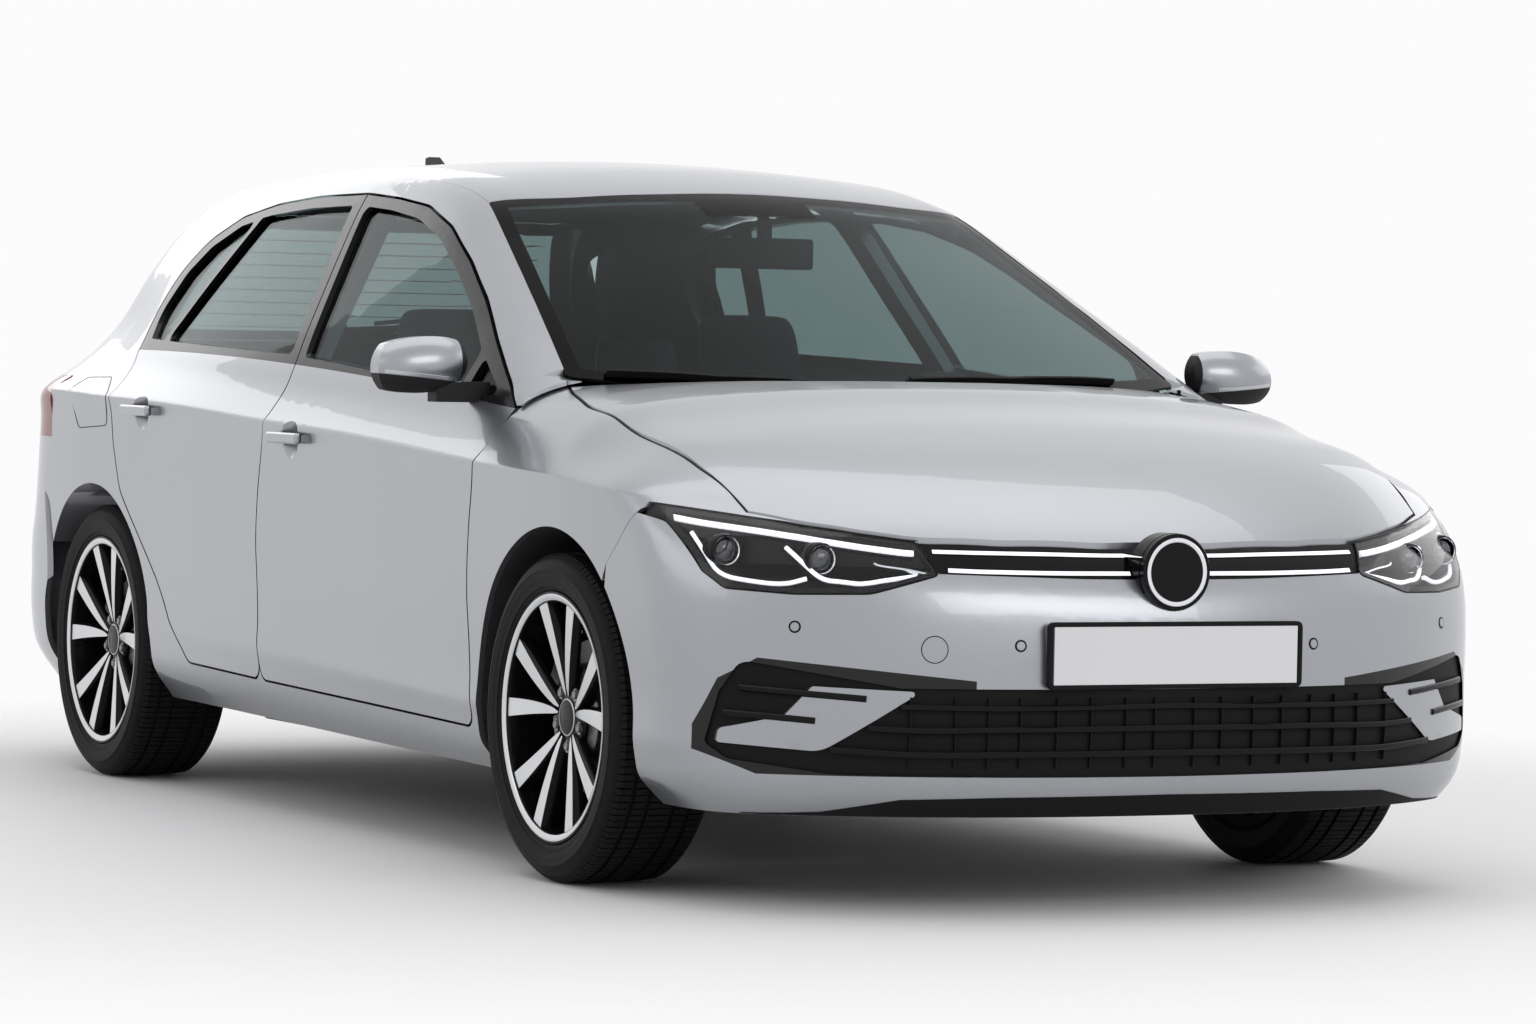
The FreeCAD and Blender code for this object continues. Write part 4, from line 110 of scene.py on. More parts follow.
class Recipe:
    # the nodes of one material
    def __init__(self, name, **constants):
        self.material = bpy.data.materials.new(name)
        self.material.use_nodes = True
        self.tree = self.material.node_tree
        self.surface = self.tree.nodes["Principled BSDF"]
        self.paint(constants)

    def make(self, kind, settings=None, inputs=None, output=0):
        node = self.tree.nodes.new(kind)
        for key, value in (settings or {}).items():
            setattr(node, key, value)
        for key, value in (inputs or {}).items():
            self.feed(node.inputs[key], value)
        return Value(self, node.outputs[output])

    def feed(self, socket, value):
        if isinstance(value, Value):
            self.tree.links.new(value.socket, socket)
        elif isinstance(value, tuple) and len(value) == 3 and len(socket.default_value) == 4:
            socket.default_value = (*value, 1)
        else:
            socket.default_value = value

    def paint(self, values):
        for key, value in values.items():
            self.feed(self.surface.inputs[key.replace("_", " ")], value)

    def maths(self, operation, *values):
        return self.make("ShaderNodeMath", {"operation": operation}, dict(enumerate(values)))

    def place(self, output="Object"):
        return self.make("ShaderNodeTexCoord", output=output)

    def noise(self, scale, detail=3.0):
        return self.make("ShaderNodeTexNoise", None,
                         {"Scale": scale, "Detail": detail, "Vector": self.place()})

    def blend(self, factor, low, high):
        node = self.tree.nodes.new("ShaderNodeMix")
        node.data_type = "RGBA"
        self.feed(node.inputs[0], factor)
        self.feed(node.inputs[6], low)
        self.feed(node.inputs[7], high)
        return Value(self, node.outputs[2])

    def bump(self, height, depth, strength):
        made = self.make("ShaderNodeBump", None, {"Height": height, "Distance": depth, "Strength": strength})
        self.paint({"Normal": made})

    def axis(self, name, output="Object"):
        split = self.tree.nodes.new("ShaderNodeSeparateXYZ")
        self.feed(split.inputs[0], self.place(output))
        return Value(self, split.outputs[name])


# Finishes of one noise: name in the table, material, fixed values, noise, two colours, roughness as a share of
# the noise and a base, and bump as a depth and a strength
plainFinishes = (
    ("gloss", "blackGloss", {"Coat_Weight": 0.08, "Coat_Roughness": 0.03, "Specular_IOR_Level": 0.1}, (420.0, 3.0),
     (0.003, 0.003, 0.0035), (0.007, 0.007, 0.0075), (0.08, 0.12), None),
    ("grain", "blackGrain", {"Specular_IOR_Level": 0.08}, (1100.0, 4.0),
     (0.006, 0.006, 0.0065), (0.014, 0.014, 0.015), (0.2, 0.42), (0.00025, 0.5)),
    ("discSteel", "discSteel", {"Metallic": 0.95}, (320.0, 5.0),
     (0.10, 0.10, 0.105), (0.24, 0.24, 0.245), (0.2, 0.3), (0.0001, 0.4)),
    ("steel", "steel", {"Metallic": 0.95}, (150.0, 5.0),
     (0.16, 0.16, 0.165), (0.32, 0.32, 0.33), (0.18, 0.27), (0.00008, 0.4)),
    ("chrome", "chrome", {"Metallic": 1.0}, (300.0, 5.0),
     (0.72, 0.73, 0.75), (0.82, 0.83, 0.85), (0.18, 0.05), (0.00008, 0.4)),
    ("satin", "satin", {"Metallic": 0.9}, (300.0, 5.0),
     (0.46, 0.47, 0.49), (0.56, 0.57, 0.59), (0.18, 0.25), (0.00008, 0.4)),
    ("castMetal", "castMetal", {"Metallic": 0.7}, (90.0, 5.0),
     (0.16, 0.16, 0.16), (0.28, 0.28, 0.27), (0.18, 0.45), (0.00008, 0.4)),
    ("underPaint", "underPaint", {"Metallic": 0.1}, (30.0, 5.0),
     (0.014, 0.015, 0.016), (0.035, 0.036, 0.038), (0.18, 0.5), (0.00008, 0.4)),
    ("heatSteel", "heatSteel", {"Metallic": 0.9}, (24.0, 5.0),
     (0.20, 0.18, 0.16), (0.36, 0.33, 0.30), (0.18, 0.33), (0.00008, 0.4)),
    ("lens", "lampLens", {"Roughness": 0.0, "IOR": 1.25, "Transmission_Weight": 1.0}, (2.0, 1.0),
     (0.93, 0.94, 0.95), (0.98, 0.98, 0.99), None, None),
    ("redLens", "redLens", {"Roughness": 0.08, "Specular_IOR_Level": 0.3, "Coat_Weight": 0.4}, (3.0, 1.0),
     (0.20, 0.003, 0.005), (0.28, 0.005, 0.007), None, None),
    ("optic", "opticGlass", {"Roughness": 0.02, "Coat_Weight": 1.0, "IOR": 1.5}, (120.0, 2.0),
     (0.010, 0.011, 0.013), (0.05, 0.054, 0.06), None, None),
    ("plate", "blankPlate", {"Coat_Weight": 0.5}, (3.0, 2.0),
     (0.76, 0.76, 0.78), (0.80, 0.80, 0.82), (0.05, 0.28), None),
    ("mirrorGlass", "mirrorGlass", {"Metallic": 1.0, "Roughness": 0.02}, (2.0, 1.0),
     (0.66, 0.69, 0.71), (0.70, 0.73, 0.75), None, None))


def makeFinishes():
    made = {}

    for key, name, fixed, noise, low, high, rough, relief in plainFinishes:
        plain = made[key] = Recipe(name, **fixed)
        spots = plain.noise(*noise)
        plain.paint({"Base_Color": plain.blend(spots, low, high)})
        if rough:
            plain.paint({"Roughness": spots * rough[0] + rough[1]})
        if relief:
            plain.bump(spots, *relief)

    beltLine = (0.968, -0.049, -0.0181)
    edges = {"mirrorSlope": 0.09, "mirrorFoot": 0.8785, "mirrorInner": 0.86, "gateLow": 1.012, "gateTop": 1.326,
             "pocketInner": 0.395, "pocketOuter": 0.842, "pocketLow": 0.259, "pocketFloor": (-0.463, -0.090),
             "pocketTops": ((-0.101, 0.3956), (0.714, 1.012), (2.875, 2.7665))}
    silver = ((0.30, 0.308, 0.33), (0.37, 0.38, 0.405))
    dark = ((0.006, 0.006, 0.0065), (0.013, 0.013, 0.014))

    def inwardFace(recipe):
        return (recipe.axis("Y", "Normal") * recipe.axis("Y")).below(-0.18)

    def doorTrim(recipe):
        x = recipe.axis("X")
        return recipe.axis("Z").above(x * beltLine[1] + x * x * beltLine[2] + beltLine[0])

    def mirrorFoot(recipe):
        y = abs(recipe.axis("Y"))
        cap = recipe.axis("Z") - y * edges["mirrorSlope"]
        return 1.0 - cap.above(edges["mirrorFoot"]) * y.above(edges["mirrorInner"])

    def gateSides(recipe):
        return recipe.axis("Z").above(edges["gateLow"]) * recipe.axis("Z").below(edges["gateTop"])

    def pocketFrame(recipe):
        y, z = abs(recipe.axis("Y")), recipe.axis("Z")
        frame = y.above(edges["pocketInner"]) * y.below(edges["pocketOuter"]) * z.above(edges["pocketLow"])
        for slope, edge in edges["pocketTops"]:
            frame = frame * (z + y * slope).below(edge)
        slope, edge = edges["pocketFloor"]
        return frame * (z + y * slope).above(edge)

    def never(recipe):
        return recipe.axis("Z").above(9.0)

    def facing(letter, edge):
        return lambda recipe: (recipe.axis(letter, "Normal") * edge).above(0.5)

    # silver lacquer with a part that is gloss black and a part, seen from inside, in black grain
    for name, glossPart, linedPart in (("paint", never, never), ("sidePaint", never, inwardFace),
                                       ("doorPaint", doorTrim, inwardFace),
                                       ("roofPaint", never, facing("Z", -1.0)),
                                       ("gatePaint", gateSides, facing("X", 1.0)),
                                       ("bonnetPaint", never, facing("Z", -1.0)),
                                       ("bumperPaint", pocketFrame, never),
                                       ("mirrorPaint", never, mirrorFoot)):
        paint = Recipe(name + "Finish", Coat_Roughness=0.02, Coat_IOR=1.5, Specular_IOR_Level=0.25)
        flakes = paint.noise(900.0, 2.0)
        cloud = paint.noise(1.6, 2.0)
        lined = linedPart(paint)
        glossy = glossPart(paint) * (1.0 - lined)
        bare = 1.0 - paint.maths("MAXIMUM", lined, glossy)
        paint.paint({"Base_Color": paint.blend(bare, paint.blend(flakes, *dark),
                                               paint.blend(flakes * 0.5 + cloud * 0.5, *silver)),
                     "Metallic": bare * 0.85, "Coat_Weight": bare * 0.7 + 0.1 - lined * 0.1,
                     "Roughness": flakes * 0.08 + 0.28 + lined * 0.25 - glossy * 0.14})
        paint.bump(flakes, 0.00002, 0.25)
        made[name] = paint

    glass = Recipe("tintedGlass", Roughness=0.0, IOR=1.12, Transmission_Weight=1.0)
    tint = ((0.30, 0.38, 0.378), (0.34, 0.42, 0.418))
    glass.paint({"Base_Color": glass.blend(glass.noise(0.8, 1.0), *tint)})
    made["glass"] = glass

    # windscreen and backlight carry a black printed border
    screen = Recipe("screenGlass", Roughness=0.0, IOR=1.12, Transmission_Weight=1.0)
    x, y = screen.axis("X"), abs(screen.axis("Y"))
    wide = y * y
    top = x.below(wide * -0.222 + 0.2605 + 0.036 + y.below(0.13) * 0.075)
    foot = x.above(wide * -0.393 + 1.1132 - 0.034)
    edge = y.above(x * 0.1887 + 0.5257 - 0.032)
    printed = screen.maths("MAXIMUM", screen.maths("MAXIMUM", top, foot), edge)
    screen.paint({"Base_Color": screen.blend(printed, screen.blend(screen.noise(0.8, 1.0), *tint),
                                             (0.002, 0.002, 0.002))})
    made["screen"] = screen

    backlight = Recipe("backlightGlass", Roughness=0.0, IOR=1.12, Transmission_Weight=1.0)
    z, y = backlight.axis("Z"), abs(backlight.axis("Y"))
    wires = (backlight.maths("FRACT", z * 33.0)).below(0.06) * y.below(0.42)
    printed = backlight.maths("MAXIMUM", backlight.maths("MAXIMUM", z.above(1.300), z.below(1.052)),
                              y.above(z * -0.41 + 0.9635))
    clear = backlight.blend(wires, backlight.blend(backlight.noise(0.8, 1.0), *tint), (0.05, 0.03, 0.02))
    backlight.paint({"Base_Color": backlight.blend(printed, clear, (0.002, 0.002, 0.002))})
    made["backlight"] = backlight

    rubber = Recipe("tyreRubber", Specular_IOR_Level=0.12)
    dust = rubber.noise(45.0, 5.0)
    fine = rubber.noise(1300.0, 2.0)
    rubber.paint({"Base_Color": rubber.blend(dust, (0.005, 0.005, 0.0055), (0.012, 0.0118, 0.0115)),
                  "Roughness": fine * 0.15 + 0.52})
    rubber.bump(fine, 0.0002, 0.5)
    made["rubber"] = rubber

    alloy = Recipe("facedAlloy", Coat_Roughness=0.05)
    outward = abs(alloy.axis("Y", "Normal")).above(0.62)
    face = abs(alloy.axis("Y")).above(0.8090)
    bright = outward * face
    turned = alloy.noise(60.0, 6.0)
    alloy.paint({"Base_Color": alloy.blend(bright, (0.010, 0.010, 0.011),
                                           alloy.blend(turned, (0.60, 0.61, 0.62), (0.72, 0.73, 0.74))),
                 "Metallic": bright * 0.95, "Roughness": 0.24 + turned * 0.10,
                 "Coat_Weight": 0.35 + bright * 0.4})
    made["alloy"] = alloy

    turnedFace = Recipe("turnedFace", Metallic=1.0, Coat_Weight=0.5, Coat_Roughness=0.04)
    cuts = turnedFace.noise(26.0, 6.0)
    turnedFace.paint({"Base_Color": turnedFace.blend(cuts, (0.56, 0.57, 0.58), (0.68, 0.69, 0.70)),
                      "Roughness": 0.26 + cuts * 0.10})
    turnedFace.bump(turnedFace.noise(2400.0, 1.0), 0.00002, 0.4)
    made["turnedFace"] = turnedFace

    for name, colour, strength in (("whiteLight", (0.90, 0.93, 0.97), 0.75),
                                   ("redLight", (0.75, 0.01, 0.012), 0.3)):
        light = Recipe(name, Roughness=0.25, Emission_Strength=strength)
        even = light.noise(12.0, 1.0)
        dim = tuple(channel * 0.9 for channel in colour)
        light.paint({"Base_Color": light.blend(even, dim, colour),
                     "Emission_Color": light.blend(even, dim, colour)})
        made[name] = light

    cloth = Recipe("seatCloth", Sheen_Weight=0.25, Sheen_Roughness=0.5)
    weave = 0.0
    for way in ("X", "Z"):
        threads = {"Scale": 1400.0, "Distortion": 1.5, "Vector": cloth.place()}
        weave = cloth.make("ShaderNodeTexWave", {"wave_type": "BANDS", "bands_direction": way},
                           threads) * 0.5 + weave
    tone = cloth.noise(9.0, 4.0) * 0.4 + weave * 0.6
    cloth.paint({"Base_Color": cloth.blend(tone, (0.020, 0.021, 0.023), (0.050, 0.052, 0.056)),
                 "Roughness": weave * 0.15 + 0.72})
    cloth.bump(weave, 0.0004, 0.5)
    made["seatCloth"] = cloth

    hide = Recipe("blackHide", Specular_IOR_Level=0.4)
    cells = hide.make("ShaderNodeTexVoronoi", {"feature": "DISTANCE_TO_EDGE"},
                      {"Scale": 520.0, "Vector": hide.place()})
    hide.paint({"Base_Color": hide.blend(hide.noise(8.0), (0.018, 0.018, 0.020), (0.032, 0.032, 0.034)),
                "Roughness": 0.46 + hide.noise(200.0) * 0.12})
    hide.bump(cells, 0.0004, 0.5)
    made["hide"] = hide

    return {name: recipe.material for name, recipe in made.items()}


finishes = makeFinishes()
print("finishes made:", len(finishes))


def holds(loop, point):
    # whether a flat outline goes round a point
    inside = False
    x, y = point[0], point[1]
    for i in range(len(loop)):
        a, b = loop[i], loop[i - 1]
        if (a[1] > y) != (b[1] > y) and x < (b[0] - a[0]) * (y - a[1]) / (b[1] - a[1]) + a[0]:
            inside = not inside
    return inside


def evenedNormals(normals, faces, turns=4):
    for turn in range(turns):
        sums = [normal.copy() for normal in normals]
        for face in faces:
            for i in face:
                for j in face:
                    sums[i] += normals[j] * 0.5
        normals = [total.normalized() for total in sums]
    return normals


def filleted(corners, steps=6):
    # flat outline whose corners, given as two places and a radius, are turned
    line = []
    for i in range(len(corners)):
        here = Vector(corners[i][:2])
        before = Vector(corners[i - 1][:2]) - here
        after = Vector(corners[(i + 1) % len(corners)][:2]) - here
        radius = corners[i][2] if len(corners[i]) > 2 else 0
        if not radius:
            line.append(here)
            continue
        turn = math.pi - before.angle(after)
        reach = min(radius * math.tan(turn / 2), before.length * 0.48, after.length * 0.48)
        start = here + before.normalized() * reach
        end = here + after.normalized() * reach
        for k in range(steps + 1):
            t = k / steps
            line.append(start * (1 - t) ** 2 + here * (2 * t * (1 - t)) + end * t ** 2)
    return line


def inset(line, distance):
    # flat closed outline drawn in by a distance
    area = sum(a[0] * b[1] - b[0] * a[1] for a, b in zip(line, line[1:] + line[:1]))
    sign = 1 if area > 0 else -1
    result = []
    for i in range(len(line)):
        here = Vector(line[i][:2])
        before = (here - Vector(line[i - 1][:2]))
        after = (Vector(line[(i + 1) % len(line)][:2]) - here)
        if before.length < 1e-7 or after.length < 1e-7:
            continue
        a = Vector((-before.y, before.x)).normalized()
        b = Vector((-after.y, after.x)).normalized()
        middle = (a + b)
        if middle.length < 1e-6:
            continue
        middle.normalize()
        result.append(here + middle * (sign * distance / max(middle.dot(a), 0.4)))
    return result


class Maker:
    # gathers the faces of one piece, then hands it over as a finished object
    def __init__(self, name, *materials):
        self.name = name
        self.materials = materials
        self.mesh = bmesh.new()

    def add(self, points, faces, material=0):
        verts = [self.mesh.verts.new(point) for point in points]
        made = [self.mesh.faces.new([verts[i] for i in face]) for face in faces]
        for face in made:
            face.material_index = material
            face.smooth = True
        return made

    def loft(self, points, size, material=0, closed=False):
        # walls between rings of points, with the two ends capped unless they meet
        rings = len(points) // size
        faces = []
        for i in range(rings if closed else rings - 1):
            here, there = i * size, (i + 1) % rings * size
            faces += [(here + k, here + (k + 1) % size, there + (k + 1) % size,
                       there + k) for k in range(size)]
        if not closed:
            faces += [tuple(range(size)), tuple(reversed(range((rings - 1) * size, rings * size)))]
        return self.add(points, faces, material)

    def shell(self, points, normals, faces, thickness, lift=0.0):
        # closed plate between a surface, lifted along its normals, and the same surface sunk
        total = len(points)
        front = [point + normal * lift for point, normal in zip(points, normals)]
        back = [point + normal * (lift - thickness) for point, normal in zip(points, normals)]
        made = []
        border = {}
        for face in faces:
            made += [face, tuple(total + i for i in reversed(face))]
            for a, b in zip(face, face[1:] + face[:1]):
                if (b, a) in border:
                    del border[(b, a)]
                else:
                    border[(a, b)] = True
        made += [(b, a, total + a, total + b) for a, b in border]
        self.add(front + back, made)

    def strip(self, path, normals, width, height, sink=0.001, closed=False, material=0, chamfer=0.25,
              tapers=None):
        # bar of a chamfered section that follows a path on a surface
        count = len(path)
        points = []
        for i in range(count):
            before = path[(i - 1) % count] if closed or i else path[0]
            after = path[(i + 1) % count] if closed or i < count - 1 else path[-1]
            along = (after - before).normalized()
            across = along.cross(normals[i]).normalized()
            up = normals[i].normalized()
            share = tapers[i] if tapers else 1.0
            half = width / 2 * share
            cut = min(half, height) * chamfer
            section = ((-half, -sink), (-half, height - cut), (-half + cut, height),
                       (half - cut, height), (half, height - cut), (half, -sink))
            points += [path[i] + across * a + up * b for a, b in section]
        self.loft(points, len(section), material, closed)

    def sheet(self, outline, cast, thickness, lift, step):
        # closed plate of any outline that lies on a surface
        loop = densified(list(outline) + [outline[0]], step)[:-1]
        flat = [Vector((point[0], point[1])) for point in loop]
        border = list(flat)
        edges = [(i, (i + 1) % len(loop)) for i in range(len(loop))]
        lows = [min(point[k] for point in loop) for k in (0, 1)]
        highs = [max(point[k] for point in loop) for k in (0, 1)]
        for i in range(1, int((highs[0] - lows[0]) / step) + 1):
            for j in range(1, int((highs[1] - lows[1]) / step) + 1):
                point = Vector((lows[0] + i * step, lows[1] + j * step))
                near = min((point - other).length for other in border)
                if near > step * 0.5 and holds(loop, point):
                    flat.append(point)
        found, edges, triangles = delaunay_2d_cdt(flat, edges, [], 0, 1e-7)[:3]
        hits = [cast(point[0], point[1]) for point in found]
        kept = []
        for triangle in triangles:
            centre = sum((found[i] for i in triangle), Vector((0, 0))) / len(triangle)
            if holds(loop, centre) and all(hits[i] for i in triangle):
                kept.append(triangle)
        used = sorted({i for triangle in kept for i in triangle})
        order = {old: new for new, old in enumerate(used)}
        faces = [tuple(order[i] for i in triangle) for triangle in kept]
        points = [hits[i][0] for i in used]
        self.shell(points, evenedNormals([hits[i][1] for i in used], faces), faces, thickness, lift)

    def turned(self, profile, centre, axis, count=48, material=0):
        # closed body of revolution: profile pairs are radius and place along the axis
        axis = Vector(axis).normalized()
        helper = Vector((0, 0, 1)) if abs(axis.z) < 0.9 else Vector((1, 0, 0))
        first = axis.cross(helper).normalized()
        second = axis.cross(first)
        centre = Vector(centre)
        rings = []
        points = []
        for radius, place in profile:
            if radius < 1e-6:
                rings.append([len(points)])
                points.append(centre + axis * place)
                continue
            rings.append(list(range(len(points), len(points) + count)))
            for i in range(count):
                turn = 2 * math.pi * i / count
                outward = first * math.cos(turn) + second * math.sin(turn)
                points.append(centre + axis * place + outward * radius)
        faces = []
        for here, there in zip(rings, rings[1:]):
            for i in range(count):
                j = (i + 1) % count
                if len(here) == 1 and len(there) > 1:
                    faces.append((here[0], there[j], there[i]))
                elif len(there) == 1 and len(here) > 1:
                    faces.append((here[i], here[j], there[0]))
                elif len(here) > 1:
                    faces.append((here[i], here[j], there[j], there[i]))
        if len(rings[0]) > 1 and len(rings[-1]) > 1 and profile[0] != profile[-1]:
            faces += [tuple(reversed(rings[0])), tuple(rings[-1])]
        self.add(points, faces, material)

    def box(self, low, high, radius=0.0, segments=2, material=0, matrix=None):
        # box with rounded edges
        made = bmesh.new()
        bmesh.ops.create_cube(made, size=1)
        low, high = Vector(low), Vector(high)
        for vert in made.verts:
            vert.co = Vector([(low[k] + high[k]) / 2 + vert.co[k] * (high[k] - low[k]) for k in range(3)])
        if radius:
            bmesh.ops.bevel(made, geom=made.edges[:], offset=radius, segments=segments, affect="EDGES",
                            profile=0.5)
        made.verts.index_update()
        points = [(matrix @ vert.co) if matrix else vert.co.copy() for vert in made.verts]
        self.add(points, [tuple(v.index for v in face.verts) for face in made.faces], material)
        made.free()

    def piece(self, angle=32):
        bmesh.ops.remove_doubles(self.mesh, verts=self.mesh.verts, dist=0.000005)
        bmesh.ops.recalc_face_normals(self.mesh, faces=self.mesh.faces)
        mesh = bpy.data.meshes.new(self.name)
        self.mesh.to_mesh(mesh)
        self.mesh.free()
        for material in self.materials:
            mesh.materials.append(material)
        mesh.set_sharp_from_angle(angle=math.radians(angle))
        made = bpy.data.objects.new(self.name, mesh)
        scene.collection.objects.link(made)
        return made

    def finish(self, body, angle=32, subdivide=0):
        made = self.piece(angle)
        if subdivide:
            modifier = made.modifiers.new("smooth", "SUBSURF")
            modifier.levels = modifier.render_levels = subdivide
        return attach(made, body)


class Skin:
    # the outside of some frame nodes, to lay pieces on
    def __init__(self, *names):
        points = []
        faces = []
        for name in names:
            mesh = nodes[name].data
            start = len(points)
            points += [vert.co.copy() for vert in mesh.vertices]
            faces += [tuple(start + i for i in polygon.vertices) for polygon in mesh.polygons]
        self.tree = BVHTree.FromPolygons(points, faces)

    def cast(self, origin, direction):
        point, normal, index, distance = self.tree.ray_cast(Vector(origin), Vector(direction))
        if point is None:
            return None
        if normal.dot(Vector(direction)) > 0:
            normal = -normal
        return point, normal

    def ahead(self, y, z):
        return self.cast((3, y, z), (-1, 0, 0))

    def behind(self, y, z):
        return self.cast((-3, y, z), (1, 0, 0))

    def beside(self, side, x, z):
        return self.cast((x, side * 2, z), (0, -side, 0))

    def above(self, x, y):
        return self.cast((x, y, 3), (0, 0, -1))


def densified(points, step):
    # more points along straight runs between the given ones
    result = [Vector(points[0])]
    for start, end in zip(points, points[1:]):
        start, end = Vector(start), Vector(end)
        count = max(1, math.ceil((end - start).length / step))
        result += [start.lerp(end, (i + 1) / count) for i in range(count)]
    return result


def rounded(points, step):
    # corners cut twice, so that a line of a few points turns smoothly
    line = [Vector(point) for point in points]
    for turn in range(2):
        cut = line[:1]
        for start, end in zip(line, line[1:]):
            cut += [start.lerp(end, 0.25), start.lerp(end, 0.75)]
        line = cut + line[-1:]
    return densified(line, step)


def bothHalves(half):
    # line over the whole width from the points of one half, the middle one last
    return [(-y, z) for y, z in half] + [(y, z) for y, z in reversed(half[:-1])]


def laid(points, cast, smooth=2):
    # the line of points where casts meet a surface, with evened normals
    found = [cast(*point) for point in points]
    found = [pair for pair in found if pair]
    path = [point for point, normal in found]
    normals = [normal for point, normal in found]
    for turn in range(smooth):
        normals = [(normals[max(i - 1, 0)] + normals[i] + normals[min(i + 1, len(normals) - 1)]).normalized()
                   for i in range(len(normals))]
    return path, normals


def tapering(count, fall):
    # shares of a width that fall off evenly along a line
    return [1.5 - fall * i / (count - 1) for i in range(count)]


def layStrip(maker, line, cast, evening, *section, fall=0, **options):
    # strip on the surface that the casts meet, left out where they miss it
    path, normals = laid(line, cast, evening)
    if len(path) > 3:
        maker.strip(path, normals, *section, tapers=tapering(len(path), fall) if fall else None, **options)


def ringTree():
    # Geometry Nodes: copies of the object's own mesh, turned in even steps
    tree = bpy.data.node_groups.new("ringOfCopies", "GeometryNodeTree")
    for name, kind in (("Geometry", "Geometry"), ("Count", "Int"), ("Step", "Vector"),
                       ("Material", "Material")):
        tree.interface.new_socket(name, in_out="INPUT", socket_type="NodeSocket" + kind)
    tree.interface.new_socket("Geometry", in_out="OUTPUT", socket_type="NodeSocketGeometry")
    make = tree.nodes.new
    link = tree.links.new
    given = make("NodeGroupInput")
    points = make("GeometryNodePoints")
    link(given.outputs["Count"], points.inputs["Count"])
    index = make("GeometryNodeInputIndex")
    scaled = make("ShaderNodeVectorMath")
    scaled.operation = "SCALE"
    link(given.outputs["Step"], scaled.inputs[0])
    link(index.outputs[0], scaled.inputs["Scale"])
    copies = make("GeometryNodeInstanceOnPoints")
    link(given.outputs["Geometry"], copies.inputs["Instance"])
    link(scaled.outputs[0], copies.inputs["Rotation"])
    link(points.outputs[0], copies.inputs["Points"])
    whole = make("GeometryNodeRealizeInstances")
    link(copies.outputs[0], whole.inputs[0])
    dressed = make("GeometryNodeSetMaterial")
    link(whole.outputs[0], dressed.inputs[0])
    link(given.outputs["Material"], dressed.inputs["Material"])
    link(dressed.outputs[0], make("NodeGroupOutput").inputs[0])
    return tree


copyTree = ringTree()


def repeated(maker, count, step, centre):
    # the piece in the maker, repeated by Geometry Nodes and baked to a plain mesh
    piece = maker.piece()
    modifier = piece.modifiers.new("copies", "NODES")
    modifier.node_group = copyTree
    values = {"Count": count, "Step": step, "Material": maker.materials[0]}
    for item in copyTree.interface.items_tree:
        if item.in_out == "INPUT" and item.name in values:
            modifier[item.identifier] = values[item.name]
    baked = bpy.data.meshes.new_from_object(piece.evaluated_get(bpy.context.evaluated_depsgraph_get()))
    piece.modifiers.remove(modifier)
    piece.data = baked
    baked.name = maker.name
    baked.transform(Matrix.Translation(centre))
    return piece


studio = {"floorTone": (0.93, 0.93, 0.93), "fadeStart": 1.9, "fadeEnd": 4.2, "skyShade": 0.56,
          "skyShown": 1.0,
          "keyPower": 72, "sidePower": 40, "frontPower": 92, "backPower": 40}


